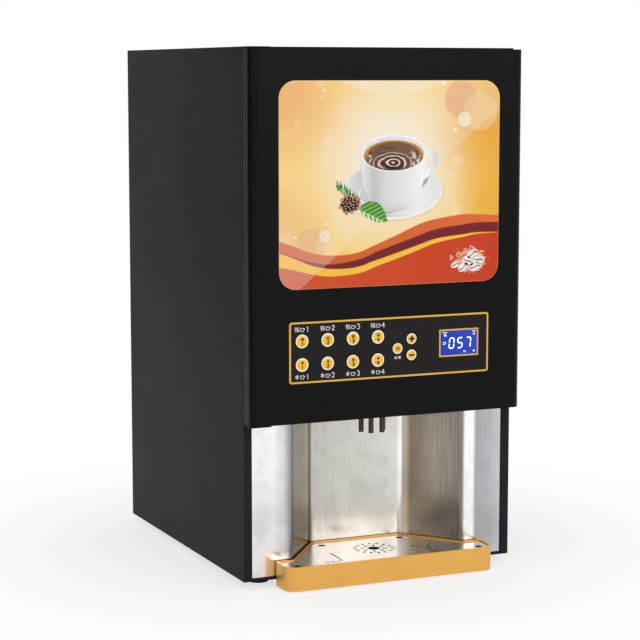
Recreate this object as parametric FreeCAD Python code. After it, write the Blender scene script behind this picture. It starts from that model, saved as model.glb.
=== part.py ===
"""Bench-top powder drinks machine: sheet-metal cabinet, hinged door, drip tray and four drink modules.

Units are millimetres, +Z is up and the door faces -Y. Each function makes one sub-part, and every
sub-part is written to parts/NAME.step.
"""
import math
import os

import FreeCAD, Part

os.makedirs("parts", exist_ok=True)

# ---------------------------------------------------------------- driving sizes
WIDTH = 340.0            # cabinet and door width
DEPTH = 390.0            # cabinet depth, seam plane to rear panel
HEIGHT = 600.0           # cabinet height above the feet
FOOT_H = 8.0             # rubber feet
DOOR_T = 26.0            # from seam plane to door face
ALCOVE_H = 182.0         # cup alcove height, cabinet bottom to door bottom
ALCOVE_DEPTH = 70.0      # seam plane to the alcove's back wall
ALCOVE_MOUTH_W = 221.0   # alcove width at the front bends
ALCOVE_BACK_W = 118.0    # alcove width at the back wall
TRAY_REACH = 38.0        # how far the drip tray stands out of the seam plane
TRAY_W = 264.0           # width of the tray's front part
TRAY_RIM = 21.0          # tray's rim above the cabinet's bottom
REAR_REACH = 12.0        # how far the water inlet stands out at the back
SHEET = 1.2              # cabinet sheet
DOOR_SHEET = 1.5         # door shell sheet
LINER_SHEET = 1.0        # stainless alcove liner and grid
CORNER_R = 10.0          # front vertical corners of the door
KEY_D = 15.5             # drink keys
SMALL_KEY_D = 12.4       # menu, plus and minus keys
KEY_TRAVEL = 0.8
STAR_X = 58.0            # slot groups of the grid, from the middle
KEY_PROUD = 1.0          # key caps stand this far out of the fascia
DISPLAY_W = 51.0
DISPLAY_H = 32.0
FASCIA_W = 251.0
FASCIA_H = 69.0
KEY_PITCH = 31.2
KEYS_IN = 15.5           # first drink key to the fascia's left edge
MENU_STEP = 24.8         # last drink key to the menu key
SET_STEP = 17.7          # menu key to the plus and minus keys
DISPLAY_IN = 12.7        # display to the fascia's right edge
POSTER_SIDE = 32.5       # poster to the door's edges
POSTER_R = 20.0
CAN_LEN = 160.0          # powder canisters, front to back
FLIGHT_START = 17.0      # turn of each auger's flight at its front end, degrees
DRINKS = 4               # canisters, bowls, augers and whippers

# ---------------------------------------------------------------- clearances
FIT = 0.3                # between neighbouring parts
RUN = 0.07               # radial, shafts that turn in a bearing
SLIP = 0.1               # between a part that lifts out and its seat
DOOR_GAP = 1.5           # door's rear edge to the seam plane

# ---------------------------------------------------------------- planes that follow
TOTAL_DEPTH = TRAY_REACH + DEPTH + REAR_REACH
SEAM = -TOTAL_DEPTH / 2 + TRAY_REACH
BACK = SEAM + DEPTH
FACE = SEAM - DOOR_T
DOOR_BACK = SEAM - DOOR_GAP
BASE = FOOT_H
TOP = FOOT_H + HEIGHT
HALF = WIDTH / 2
INSIDE = HALF - SHEET - FIT
DOOR_LOW = BASE + ALCOVE_H
DOOR_TOP = TOP - 1.9
FLANGE = 10.0            # front returns of the side panels
HINGE_X = -HALF + 5
HINGE_Y = DOOR_BACK - 14
HINGE_R = 2.5

FASCIA_LOW = DOOR_LOW + 45.5
FASCIA_T = 1.0
FASCIA_FRONT = FACE - FASCIA_T
SHELL_IN = FACE + DOOR_SHEET
SWITCH_TOP = SHELL_IN + 3.0
BOARD_FRONT = SHELL_IN + 6.5
BOARD_T = 1.6
HOT_Z = FASCIA_LOW + 47.5
COLD_Z = FASCIA_LOW + 21.0
FIRST_KEY = -FASCIA_W / 2 + KEYS_IN
MENU_X = FIRST_KEY + 3 * KEY_PITCH + MENU_STEP
MENU_Z = FASCIA_LOW + 32.8
SET_X = MENU_X + SET_STEP
PLUS_Z = FASCIA_LOW + 43.2
MINUS_Z = FASCIA_LOW + 24.5
DISPLAY_X = FASCIA_W / 2 - DISPLAY_IN - DISPLAY_W / 2
DISPLAY_Z = FASCIA_LOW + 35.5
POSTER_W = WIDTH - 2 * POSTER_SIDE
POSTER_LOW = FASCIA_LOW + FASCIA_H + 36.5
POSTER_HIGH = DOOR_TOP - 35

PITCH = (WIDTH - 20) / DRINKS
CAN_W = PITCH - 6
CAN_FRONT = SEAM + 37
CAN_REAR = CAN_FRONT + CAN_LEN
CAN_TOP = TOP - 30
CAN_WALL = 2.0
LOWER_WALL = SEAM + ALCOVE_DEPTH + 22
UPPER_WALL = CAN_REAR + 7
SHELF_Z = DOOR_LOW + 184
AUGER_Z = SHELF_Z + 26
TROUGH_R = 14.0
FLIGHT_R = 12.5
NECK_LEN = 8.0
CHUTE_Y = CAN_FRONT - 15
WHIP_Z = DOOR_LOW + 103
BOWL_TOP = DOOR_LOW + 158
BOWL_R = PITCH / 2 - 7
BOWL_Y = CHUTE_Y + 20
CHAMBER_R = 17.0
CUP_Y = SEAM + 16        # the cup stands here, under the tubes
TUBE_R = 3.0
TUBE_TIP = DOOR_LOW - 24

LINER_Y = SEAM + 2.2     # middle of the liner's front panels
LINER_LOW = BASE + 3.5
LINER_TOP = DOOR_LOW - 2.5
LINER_BEND = 9.0
CEILING_Z = DOOR_LOW
TRAY_LOW = 1.0           # underside of the tray's front part
TRAY_REAR_LOW = BASE + 3.5
TRAY_WALL = 2.0
TRAY_H = BASE + TRAY_RIM
GRID_TOP = TRAY_H - 1.5

LOCK_Y = SEAM + 22
LOCK_Z = BASE + 395
CAM_X = HALF - 28        # outer face of the cam
BOILER_R = 60.0
BOILER_X = -HALF + 75
BOILER_Y = BACK - 93
BOILER_TOP = DOOR_LOW + 35
TANK_TOP = DOOR_LOW - 7
FAN_X = HALF - 75
FAN_Z = BASE + 80
FAN_SIZE = 120.0
FAN_FRONT = BACK - SHEET - FIT - 25
PRESSOR_Y = (LOWER_WALL + FAN_FRONT) / 2
INLET_X = -HALF + 50
WATER_X = -HALF + 110
INLET_Z = BASE + 55

X_AXIS = FreeCAD.Vector(1, 0, 0)
Y_AXIS = FreeCAD.Vector(0, 1, 0)
Z_AXIS = FreeCAD.Vector(0, 0, 1)


# ---------------------------------------------------------------- small helpers
def vec(x, y, z):
    return FreeCAD.Vector(x, y, z)


def block(x0, x1, y0, y1, z0, z1):
    """A box given by its limits."""
    return Part.makeBox(x1 - x0, y1 - y0, z1 - z0, vec(x0, y0, z0))


def rod_x(radius, x0, x1, y, z):
    return Part.makeCylinder(radius, x1 - x0, vec(x0, y, z), X_AXIS)


def rod_y(radius, y0, y1, x, z):
    return Part.makeCylinder(radius, y1 - y0, vec(x, y0, z), Y_AXIS)


def rod_z(radius, z0, z1, x, y):
    return Part.makeCylinder(radius, z1 - z0, vec(x, y, z0), Z_AXIS)


def joined(first, *others):
    """One solid from touching pieces."""
    return first.multiFuse(list(others)).removeSplitter()


def less(body, *cutters):
    return body.cut(list(cutters))


def save(name, *shapes):
    """Write one node; several shapes stay separate solids in it."""
    solids = []
    for shape in shapes:
        solids.extend(shape.Solids)
    if len(solids) == 1:
        solids[0].exportStep("parts/" + name + ".step")
    else:
        Part.makeCompound(solids).exportStep("parts/" + name + ".step")


def unit(v):
    return v * (1.0 / v.Length)


def rounded_face(points, radii, z):
    """A flat face from corner points, each corner rounded by its radius."""
    corners = []
    count = len(points)
    for i in range(count):
        here = vec(points[i][0], points[i][1], z)
        before = vec(points[i - 1][0], points[i - 1][1], z)
        after = vec(points[(i + 1) % count][0], points[(i + 1) % count][1], z)
        back = unit(before - here)
        ahead = unit(after - here)
        half = math.acos(max(-1.0, min(1.0, back.dot(ahead)))) / 2
        reach = radii[i] / math.tan(half)
        middle = here + unit(back + ahead) * (radii[i] / math.sin(half) - radii[i])
        corners.append((here + back * reach, middle, here + ahead * reach))
    edges = []
    for i in range(count):
        start, middle, end = corners[i]
        following = corners[(i + 1) % count][0]
        if radii[i] > 0:
            edges.append(Part.Arc(start, middle, end).toShape())
        if (following - end).Length > 1e-6:
            edges.append(Part.makeLine(end, following))
    return Part.Face(Part.Wire(edges))


def inset(points, radii, distance, closed=True):
    """Corners and radii of an outline moved to its left by a distance."""
    moved = []
    curved = []
    count = len(points)
    for i in range(count):
        here = vec(points[i][0], points[i][1], 0)
        before = vec(points[i - 1][0], points[i - 1][1], 0)
        after = vec(points[(i + 1) % count][0], points[(i + 1) % count][1], 0)
        if not closed and i == 0:
            before = here * 2 - after
        if not closed and i == count - 1:
            after = here * 2 - before
        into = unit(here - before)
        out = unit(after - here)
        left = vec(-into.y, into.x, 0)
        left_out = vec(-out.y, out.x, 0)
        mean = unit(left + left_out)
        shift = mean * (distance / mean.dot(left))
        turn = into.x * out.y - into.y * out.x
        moved.append((here.x + shift.x, here.y + shift.y))
        if turn > 1e-9:
            curved.append(max(radii[i] - distance, 0))
        elif turn < -1e-9:
            curved.append(radii[i] + distance)
        else:
            curved.append(0)
    return moved, curved


def bent_sheet(points, radius, thickness, z0, z1):
    """A sheet bent along a path seen from above, standing from z0 to z1."""
    radii = [radius] * len(points)
    one, one_r = inset(points, radii, thickness / 2, closed=False)
    other, other_r = inset(points, radii, -thickness / 2, closed=False)
    outline = one + other[::-1]
    face = rounded_face(outline, one_r + other_r[::-1], z0)
    return face.extrude(vec(0, 0, z1 - z0))


def plate(x0, x1, z0, z1, radius, y0, y1):
    """A plate facing -Y with rounded corners."""
    face = rounded_face([(x0, z0), (x1, z0), (x1, z1), (x0, z1)], [radius] * 4, 0)
    body = face.extrude(vec(0, 0, y1 - y0))
    body.rotate(vec(0, 0, 0), X_AXIS, 90)
    body.translate(vec(0, y1, 0))
    return body


def pipe(points, bend, radius):
    """A round bar swept along a path of straight runs and bends."""
    edges = []
    start = points[0]
    for i in range(1, len(points) - 1):
        back = unit(points[i - 1] - points[i])
        ahead = unit(points[i + 1] - points[i])
        half = math.acos(back.dot(ahead)) / 2
        reach = bend / math.tan(half)
        middle = points[i] + unit(back + ahead) * (bend / math.sin(half) - bend)
        edges.append(Part.makeLine(start, points[i] + back * reach))
        edges.append(Part.Arc(points[i] + back * reach, middle, points[i] + ahead * reach).toShape())
        start = points[i] + ahead * reach
    edges.append(Part.makeLine(start, points[-1]))
    ring = Part.Wire([Part.makeCircle(radius, points[0], points[1] - points[0])])
    return Part.Wire(edges).makePipeShell([ring], True, True)


def drink_x(i):
    """Middle of drink module i across the cabinet."""
    return (i - (DRINKS - 1) / 2) * PITCH


def is_inner(i):
    return 0 < i < DRINKS - 1


def nozzle_x(i):
    side = 1 if drink_x(i) > 0 else -1
    return side * (7.0 if is_inner(i) else 14.0)


def outlet_y(i):
    return CUP_Y - 6 if is_inner(i) else CUP_Y + 6


# ---------------------------------------------------------------- cabinet sheets
def side_panel(side):
    """Outer side sheet with a front return and a rear return for the screws."""
    sheet = block(-HALF, -HALF + SHEET, SEAM, BACK, BASE, TOP)
    front = block(-HALF, -HALF + FLANGE, SEAM, SEAM + SHEET, BASE + SHEET + FIT, TOP - 1.7)
    rear_y = BACK - SHEET - FIT
    rear = block(-HALF, -HALF + 15, rear_y - SHEET, rear_y, BASE + SHEET + FIT, TOP - 1.7)
    body = joined(sheet, front, rear)
    for z in side_screw_heights():
        body = less(body, rod_y(2.0, rear_y - 3, rear_y + 1, -HALF + 8, z))
    if side > 0:
        body = body.mirror(vec(0, 0, 0), X_AXIS)
        body = less(body, rod_x(8.3, HALF - 5, HALF + 1, LOCK_Y, LOCK_Z))
    return body


def side_screw_heights():
    return (BASE + 95, BASE + HEIGHT / 2, TOP - 95)


def top_panel():
    """Top sheet with front and rear returns, notched for the upper hinge bracket."""
    sheet = block(-INSIDE, INSIDE, SEAM, BACK, TOP - SHEET, TOP)
    lip = HALF - FLANGE - FIT
    front = block(-lip, lip, SEAM, SEAM + SHEET, TOP - 11, TOP)
    rear_y = BACK - SHEET - FIT
    rear = block(-HALF + 20, HALF - 20, rear_y - SHEET, rear_y, TOP - 15, TOP)
    notch = block(-HALF + FLANGE + 0.7, -HALF + 25.3, SEAM - 1, SEAM + 22, TOP - 1.8, TOP + 1)
    body = less(joined(sheet, front, rear), notch)
    for x in (-HALF / 2, HALF / 2):
        body = less(body, rod_y(2.0, rear_y - 3, rear_y + 1, x, TOP - 9))
    return body


def base_pan():
    """Floor sheet with a low front lip, side returns and a rear return."""
    sheet = block(-INSIDE, INSIDE, SEAM, BACK, BASE, BASE + SHEET)
    lip = HALF - FLANGE - FIT
    front = block(-lip, lip, SEAM, SEAM + SHEET, BASE, BASE + 3.2)
    rear_y = BACK - SHEET - FIT
    rear = block(-HALF + 20, HALF - 20, rear_y - SHEET, rear_y, BASE, BASE + 15)
    left = block(-INSIDE, -INSIDE + SHEET, SEAM + 10, rear_y - 5, BASE, BASE + 15)
    right = block(INSIDE - SHEET, INSIDE, SEAM + 10, rear_y - 5, BASE, BASE + 15)
    body = joined(sheet, front, rear, left, right)
    for x in (-HALF / 2, HALF / 2):
        body = less(body, rod_y(2.0, rear_y - 3, rear_y + 1, x, BASE + 10))
    return body


def rear_panel():
    """Rear sheet with vent slots, the fan's window and holes for the inlets."""
    y0 = BACK - SHEET
    body = block(-INSIDE, INSIDE, y0, BACK, BASE + SHEET + FIT, TOP - SHEET - FIT)
    cutters = []
    for row in range(9):
        dz = (row - 4) * 12
        reach = math.sqrt(54 ** 2 - dz ** 2) - 3
        cutters.append(plate(FAN_X - reach, FAN_X + reach, FAN_Z + dz - 3, FAN_Z + dz + 3, 2.9, y0 - 1, BACK + 1))
    for row in range(6):
        z = TOP - 55 - row * 12
        cutters.append(plate(-60, 60, z - 2.5, z + 2.5, 2.4, y0 - 1, BACK + 1))
    cutters.append(plate(INLET_X - 23.3, INLET_X + 23.3, INLET_Z - 29.3, INLET_Z + 29.3, 0.2, y0 - 1, BACK + 1))
    cutters.append(rod_y(10.8, y0 - 1, BACK + 1, WATER_X, INLET_Z))
    for x, z in screw_places():
        cutters.append(rod_y(2.2, y0 - 1, BACK + 1, x, z))
    return less(body, *cutters)


def screw_places():
    places = []
    for z in side_screw_heights():
        places.append((-HALF + 8, z))
        places.append((HALF - 8, z))
    for x in (-HALF / 2, HALF / 2):
        places.append((x, TOP - 9))
        places.append((x, BASE + 10))
    return places


def screws():
    """Pan-head screws of the rear panel."""
    made = []
    for x, z in screw_places():
        head = rod_y(3.6, BACK, BACK + 2.2, x, z)
        shank = rod_y(1.9, BACK - 7, BACK, x, z)
        cross = block(x - 2, x + 2, BACK + 1.2, BACK + 3, z - 0.4, z + 0.4)
        cross_2 = block(x - 0.4, x + 0.4, BACK + 1.2, BACK + 3, z - 2, z + 2)
        made.append(less(joined(head, shank), cross, cross_2))
    return made


def rubber_feet():
    made = []
    for x in (-HALF + 30, HALF - 30):
        for y in (SEAM + 32, BACK - 28):
            cone = Part.makeCone(12, 15, FOOT_H, vec(x, y, 0), Z_AXIS)
            made.append(cone)
    return made


def hinge_brackets():
    """Upper and lower pivot plates with their pins."""
    x0 = -HALF
    x1 = -HALF + 25
    cross_x = -HALF + FLANGE + 1
    tip_y = HINGE_Y - 6
    low_z = DOOR_LOW - 2.0
    low = block(x0, x1, tip_y, SEAM - 1, low_z, low_z + 1.5)
    low_arm = block(cross_x, x1, tip_y, SEAM + 32, low_z, low_z + 1.5)
    low_pin = rod_z(HINGE_R, low_z, DOOR_LOW + 5, HINGE_X, HINGE_Y)
    high_z = TOP - 1.4
    high = block(x0, x1, tip_y, SEAM - 1, high_z, TOP)
    high_arm = block(cross_x, x1, tip_y, SEAM + 21.5, high_z, TOP)
    high_tab = block(cross_x, x1, SEAM + 10, SEAM + 42, high_z - 1.4, high_z)
    high_pin = rod_z(HINGE_R, DOOR_TOP - 6, TOP, HINGE_X, HINGE_Y)
    return joined(low, low_arm, low_pin), joined(high, high_arm, high_tab, high_pin)


def module_plate():
    """Bent plate that carries the bowls, the canister shelf and the auger motors."""
    x1 = INSIDE - 0.5
    lower = block(-x1, x1, LOWER_WALL, LOWER_WALL + SHEET, DOOR_LOW + 2, SHELF_Z + SHEET)
    shelf = block(-x1, x1, LOWER_WALL, UPPER_WALL + SHEET, SHELF_Z, SHELF_Z + SHEET)
    upper = block(-x1, x1, UPPER_WALL, UPPER_WALL + SHEET, SHELF_Z, TOP - 5)
    cutters = []
    for i in range(DRINKS):
        cutters.append(rod_y(3.5, LOWER_WALL - 1, LOWER_WALL + 3, drink_x(i), WHIP_Z))
        cutters.append(rod_y(4.0, UPPER_WALL - 1, UPPER_WALL + 3, drink_x(i), AUGER_Z))
    return less(joined(lower, shelf, upper), *cutters)


# ---------------------------------------------------------------- cup alcove and tray
def liner_path():
    mouth = ALCOVE_MOUTH_W / 2
    back = ALCOVE_BACK_W / 2
    edge = HALF - 3
    back_y = SEAM + ALCOVE_DEPTH
    return [(-edge, LINER_Y), (-mouth, LINER_Y), (-back, back_y), (back, back_y), (mouth, LINER_Y), (edge, LINER_Y)]


def slant_x(y, distance):
    """Half-width at depth y of a line kept a distance inside the liner's slanting side."""
    run = (ALCOVE_MOUTH_W - ALCOVE_BACK_W) / 2
    rise = SEAM + ALCOVE_DEPTH - LINER_Y
    slope = math.hypot(run, rise) / rise
    return ALCOVE_MOUTH_W / 2 - run * (y - LINER_Y) / rise - distance * slope


def alcove_liner():
    return bent_sheet(liner_path(), LINER_BEND, LINER_SHEET, LINER_LOW, LINER_TOP)


def alcove_ceiling():
    """Sheet above the cup, with the hole for the nozzle holder."""
    low = CEILING_Z
    sheet = block(-INSIDE, INSIDE, SEAM + 3, LOWER_WALL - FIT, low, low + SHEET)
    wall = block(-INSIDE, INSIDE, LOWER_WALL - FIT - SHEET, LOWER_WALL - FIT, low, low + 12)
    return less(joined(sheet, wall), rod_z(24.3, low - 1, low + 3, 0, CUP_Y))


def tray_outline():
    front = SEAM - TRAY_REACH
    step = SEAM - 1
    half = TRAY_W / 2
    gap = 2.0 + LINER_SHEET / 2
    neck = slant_x(step, gap)
    rear = SEAM + ALCOVE_DEPTH - gap
    tip = slant_x(rear, gap)
    right = [(half, front), (half, step), (neck, step), (tip, rear)]
    left = [(-x, y) for x, y in right[::-1]]
    return right + left, [15.0, 3.0, 6.0, 10.0, 10.0, 6.0, 3.0, 15.0]


def drip_tray():
    """Open tray: deep front part in front of the cabinet, shallower rear part in the alcove."""
    points, radii = tray_outline()
    body = rounded_face(points, radii, TRAY_LOW).extrude(vec(0, 0, TRAY_H - TRAY_LOW))
    under = block(-HALF, HALF, SEAM - 1, 0, 0, TRAY_REAR_LOW)
    upper = rounded_face(*inset(points, radii, TRAY_WALL), GRID_TOP - LINER_SHEET - SLIP)
    upper = upper.extrude(vec(0, 0, 10))
    floor = TRAY_REAR_LOW + TRAY_WALL
    lower = rounded_face(*inset(points, radii, TRAY_WALL * 2), floor)
    lower = lower.extrude(vec(0, 0, TRAY_H - floor))
    return less(body, under, upper, lower)


def slot(x, y, angle, length, width):
    """A cutter for a slot with round ends, lying in the grid."""
    half = length / 2
    reach = width / 2
    z0 = GRID_TOP - 5
    face = rounded_face([(-half, -reach), (half, -reach), (half, reach), (-half, reach)], [reach * 0.98] * 4, z0)
    body = face.extrude(vec(0, 0, 10))
    body.rotate(vec(0, 0, 0), Z_AXIS, angle)
    body.translate(vec(x, y, 0))
    return body


def tray_grid():
    """Stainless drain plate: a slotted rosette under the cup, two slot stars and four round holes."""
    points, radii = inset(*tray_outline(), TRAY_WALL + 0.4)
    body = rounded_face(points, radii, GRID_TOP - LINER_SHEET).extrude(vec(0, 0, LINER_SHEET))
    cutters = [rod_z(7, 0, TRAY_H, 0, CUP_Y)]
    for radius, count, length in ((13.5, 8, 6.0), (22.5, 16, 5.5)):
        for n in range(count):
            angle = 360.0 * (n + 0.5) / count
            x = radius * math.cos(math.radians(angle))
            y = CUP_Y + radius * math.sin(math.radians(angle))
            cutters.append(slot(x, y, angle, length, 3.0))
    for side, star_y, arms in ((-1, SEAM - 24, ((180, 3), (88, 5))), (1, SEAM - 8, ((55, 3), (125, 3), (270, 3)))):
        for arm, count in arms:
            for n in range(count):
                reach = 4.5 + 7.5 * n
                x = side * STAR_X + reach * math.cos(math.radians(arm))
                y = star_y + reach * math.sin(math.radians(arm))
                cutters.append(slot(x, y, arm, 5.5, 2.6))
        cutters.append(rod_z(4.25, 0, TRAY_H, side * (TRAY_W / 2 - 16), SEAM - TRAY_REACH + 12))
        cutters.append(rod_z(4.25, 0, TRAY_H, side * (ALCOVE_BACK_W / 2 - 8), SEAM + ALCOVE_DEPTH - 18))
    return less(body, *cutters)


# ---------------------------------------------------------------- door
def door_shell():
    """Formed steel door, open at the back, pierced for keys, display and hinge pins."""
    radii = [CORNER_R, CORNER_R, 0, 0]
    points = [(-HALF, FACE), (HALF, FACE), (HALF, DOOR_BACK), (-HALF, DOOR_BACK)]
    body = rounded_face(points, radii, DOOR_LOW).extrude(vec(0, 0, DOOR_TOP - DOOR_LOW))
    thin = DOOR_SHEET
    room = [(-HALF + thin, FACE + thin), (HALF - thin, FACE + thin)]
    room += [(HALF - thin, DOOR_BACK + 5), (-HALF + thin, DOOR_BACK + 5)]
    inner_r = [CORNER_R - thin, CORNER_R - thin, 0, 0]
    inside = rounded_face(room, inner_r, DOOR_LOW + thin).extrude(vec(0, 0, DOOR_TOP - DOOR_LOW - 2 * thin))
    cutters = [inside]
    for name, x, z, diameter in key_table():
        cutters.append(rod_y(diameter / 2 + FIT, FACE - 1, FACE + 5, x, z))
    cutters.append(display_window(FACE - 1, FACE + 5))
    cutters.append(rod_z(HINGE_R + RUN, DOOR_LOW - 1, DOOR_LOW + 5, HINGE_X, HINGE_Y))
    cutters.append(rod_z(HINGE_R + RUN, DOOR_TOP - 5, DOOR_TOP + 1, HINGE_X, HINGE_Y))
    body = less(body, *cutters)
    posts = []
    for x in (FIRST_KEY - 11, SET_X + 11):
        for z in (FASCIA_LOW + 7, FASCIA_LOW + FASCIA_H - 7):
            posts.append(rod_y(2.5, FACE + 0.5, BOARD_FRONT - FIT, x, z))
    return joined(body, *posts)


def key_table():
    """Name, place and diameter of every key."""
    keys = []
    for i in range(4):
        keys.append(("key_hot_%d" % (i + 1), FIRST_KEY + i * KEY_PITCH, HOT_Z, KEY_D))
        keys.append(("key_cold_%d" % (i + 1), FIRST_KEY + i * KEY_PITCH, COLD_Z, KEY_D))
    keys.append(("key_menu", MENU_X, MENU_Z, SMALL_KEY_D))
    keys.append(("key_plus", SET_X, PLUS_Z, SMALL_KEY_D))
    keys.append(("key_minus", SET_X, MINUS_Z, SMALL_KEY_D))
    return keys


def display_window(y0, y1, gap=FIT):
    half_w = DISPLAY_W / 2 + gap
    half_h = DISPLAY_H / 2 + gap
    return block(DISPLAY_X - half_w, DISPLAY_X + half_w, y0, y1, DISPLAY_Z - half_h, DISPLAY_Z + half_h)


def key_fascia():
    """Thin panel on the door face with a hole for every key and the display's window."""
    body = plate(-FASCIA_W / 2, FASCIA_W / 2, FASCIA_LOW, FASCIA_LOW + FASCIA_H, 3, FASCIA_FRONT, FACE)
    cutters = [display_window(FASCIA_FRONT - 1, FACE + 1)]
    for name, x, z, diameter in key_table():
        cutters.append(rod_y(diameter / 2 + FIT, FASCIA_FRONT - 1, FACE + 1, x, z))
    return less(body, *cutters)


def key(x, z, diameter):
    """Key cap with a rear collar that keeps it in the door and a stem that meets its switch."""
    front = FASCIA_FRONT - KEY_PROUD
    collar = SHELL_IN + FIT
    cap = rod_y(diameter / 2, front, collar, x, z)
    ring = rod_y(diameter / 2 + 1.2, collar, collar + 0.8, x, z)
    stem = rod_y(2.0, collar, SWITCH_TOP - KEY_TRAVEL - 0.1, x, z)
    return joined(cap, ring, stem)


def key_board():
    """Circuit board with a switch under each key."""
    x0 = FIRST_KEY - 14
    x1 = SET_X + 14
    body = block(x0, x1, BOARD_FRONT, BOARD_FRONT + BOARD_T, FASCIA_LOW + 4, FASCIA_LOW + FASCIA_H - 4)
    parts = [rod_y(3.0, SWITCH_TOP, BOARD_FRONT, x, z) for name, x, z, diameter in key_table()]
    parts.append(block(x0 + 20, x0 + 50, BOARD_FRONT + BOARD_T, BOARD_FRONT + 7, FASCIA_LOW + 25, FASCIA_LOW + 37))
    parts.append(block(x1 - 60, x1 - 40, BOARD_FRONT + BOARD_T, BOARD_FRONT + 4, FASCIA_LOW + 20, FASCIA_LOW + 40))
    return joined(body, *parts)


def display_module():
    """Liquid-crystal display: glass in the fascia's window and its board behind the shell."""
    glass = display_window(FASCIA_FRONT + 0.4, SHELL_IN + FIT, gap=0)
    half_w = DISPLAY_W / 2 + 5
    half_h = DISPLAY_H / 2 + 5
    y0 = SHELL_IN + FIT
    board = block(DISPLAY_X - half_w, DISPLAY_X + half_w, y0, y0 + 6, DISPLAY_Z - half_h, DISPLAY_Z + half_h)
    return joined(glass, board)


def poster_panel():
    return plate(-POSTER_W / 2, POSTER_W / 2, POSTER_LOW, POSTER_HIGH, POSTER_R, FACE - 1.0, FACE)


def door_liner():
    """Inner sheet that closes the door's back, with the catch hook for the lock's cam."""
    edge = HALF - DOOR_SHEET - FIT
    y1 = DOOR_BACK - 1.0
    low = DOOR_LOW + DOOR_SHEET + FIT
    high = DOOR_TOP - DOOR_SHEET - FIT
    sheet = block(-edge, edge, y1 - 1, y1, low, high)
    left = block(-edge, -edge + 1, y1 - 9, y1, low, high)
    right = block(edge - 1, edge, y1 - 9, y1, low, high)
    x0 = CAM_X - 4
    x1 = CAM_X + 8
    bar = block(x0, x1, y1 - 1, LOCK_Y + 8, LOCK_Z - 34, LOCK_Z - 32)
    lip = block(x0, x1, LOCK_Y + 6, LOCK_Y + 8, LOCK_Z - 34, LOCK_Z - 14)
    brace = block(x0, x0 + 2, y1 - 1, LOCK_Y - 10, LOCK_Z - 45, LOCK_Z - 32)
    return joined(sheet, left, right, bar, lip, brace)


# ---------------------------------------------------------------- lock
def lock_housing():
    """Threaded barrel housing through the right side panel, held by a nut inside."""
    tube = rod_x(8.0, CAM_X + 0.5, HALF, LOCK_Y, LOCK_Z)
    face = rod_x(9.5, HALF, HALF + 1.8, LOCK_Y, LOCK_Z)
    nut_face = Part.Face(Part.makePolygon(hexagon(12.0)))
    nut = nut_face.extrude(vec(5, 0, 0))
    nut.translate(vec(HALF - SHEET - FIT - 5, LOCK_Y, LOCK_Z))
    return less(joined(tube, face, nut), rod_x(5.0 + RUN, CAM_X - 1, HALF + 3, LOCK_Y, LOCK_Z))


def hexagon(radius):
    points = []
    for n in range(7):
        angle = math.radians(60 * n)
        points.append(vec(0, radius * math.cos(angle), radius * math.sin(angle)))
    return points


def lock_plug():
    """Turning plug with a key slot; its square end carries the cam."""
    barrel = rod_x(5.0, CAM_X + 0.3, HALF + 1.6, LOCK_Y, LOCK_Z)
    square = block(CAM_X - 4, CAM_X + 1, LOCK_Y - 2.5, LOCK_Y + 2.5, LOCK_Z - 2.5, LOCK_Z + 2.5)
    slit = block(HALF - 8, HALF + 3, LOCK_Y - 3.5, LOCK_Y + 3.5, LOCK_Z - 0.8, LOCK_Z + 0.8)
    return less(joined(barrel, square), slit)


def lock_cam():
    """Flat cam on the plug's square end; it points forward when the door is free."""
    tip = rod_x(5.0, CAM_X - 2, CAM_X, LOCK_Y - 15, LOCK_Z)
    arm = block(CAM_X - 2, CAM_X, LOCK_Y - 15, LOCK_Y, LOCK_Z - 5, LOCK_Z + 5)
    hub = rod_x(7.0, CAM_X - 2, CAM_X, LOCK_Y, LOCK_Z)
    hole = block(CAM_X - 3, CAM_X + 1, LOCK_Y - 2.6, LOCK_Y + 2.6, LOCK_Z - 2.6, LOCK_Z + 2.6)
    return less(joined(tip, arm, hub), hole)


# ---------------------------------------------------------------- drink modules
def hopper_section(x, grow):
    """Cross-section of a canister: straight walls, slopes and a round trough for the auger."""
    half = CAN_W / 2 - grow
    trough = TROUGH_R + CAN_WALL - grow
    shoulder = AUGER_Z + 34
    low = AUGER_Z - trough
    points = [vec(x - half, 0, CAN_TOP + grow), vec(x - half, 0, shoulder), vec(x - trough, 0, AUGER_Z + 4)]
    left = points + [vec(x - trough, 0, AUGER_Z)]
    right = [vec(2 * x - p.x, 0, p.z) for p in left]
    edges = []
    for run in (left, right):
        for a, b in zip(run[:-1], run[1:]):
            edges.append(Part.makeLine(a, b))
    edges.append(Part.Arc(left[-1], vec(x, 0, low), right[-1]).toShape())
    edges.append(Part.makeLine(left[0], right[0]))
    return Part.Face(Part.Wire(Part.__sortEdges__(edges)))


def canister(x):
    """Powder canister, open at the top, with a neck for the spout and feet on the shelf."""
    outer = hopper_section(x, 0)
    outer.translate(vec(0, CAN_FRONT, 0))
    body = outer.extrude(vec(0, CAN_LEN, 0))
    room = hopper_section(x, CAN_WALL)
    room.translate(vec(0, CAN_FRONT + CAN_WALL, 0))
    room = room.extrude(vec(0, CAN_LEN - 2 * CAN_WALL, 0))
    neck = rod_y(TROUGH_R + 0.8, CAN_FRONT - NECK_LEN, CAN_FRONT + 1, x, AUGER_Z)
    feet = []
    for y in (CAN_FRONT + 6, CAN_REAR - 18):
        foot = block(x - 12, x + 12, y, y + 12, SHELF_Z + SHEET + SLIP, AUGER_Z)
        feet.append(foot)
    body = joined(body, neck, *feet)
    mouth = rod_y(TROUGH_R - 0.6, CAN_FRONT - 20, CAN_FRONT + 5, x, AUGER_Z)
    bearing = rod_y(5.0 + RUN, CAN_REAR - 5, CAN_REAR + 1, x, AUGER_Z)
    return less(body, room, mouth, bearing)


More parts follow.
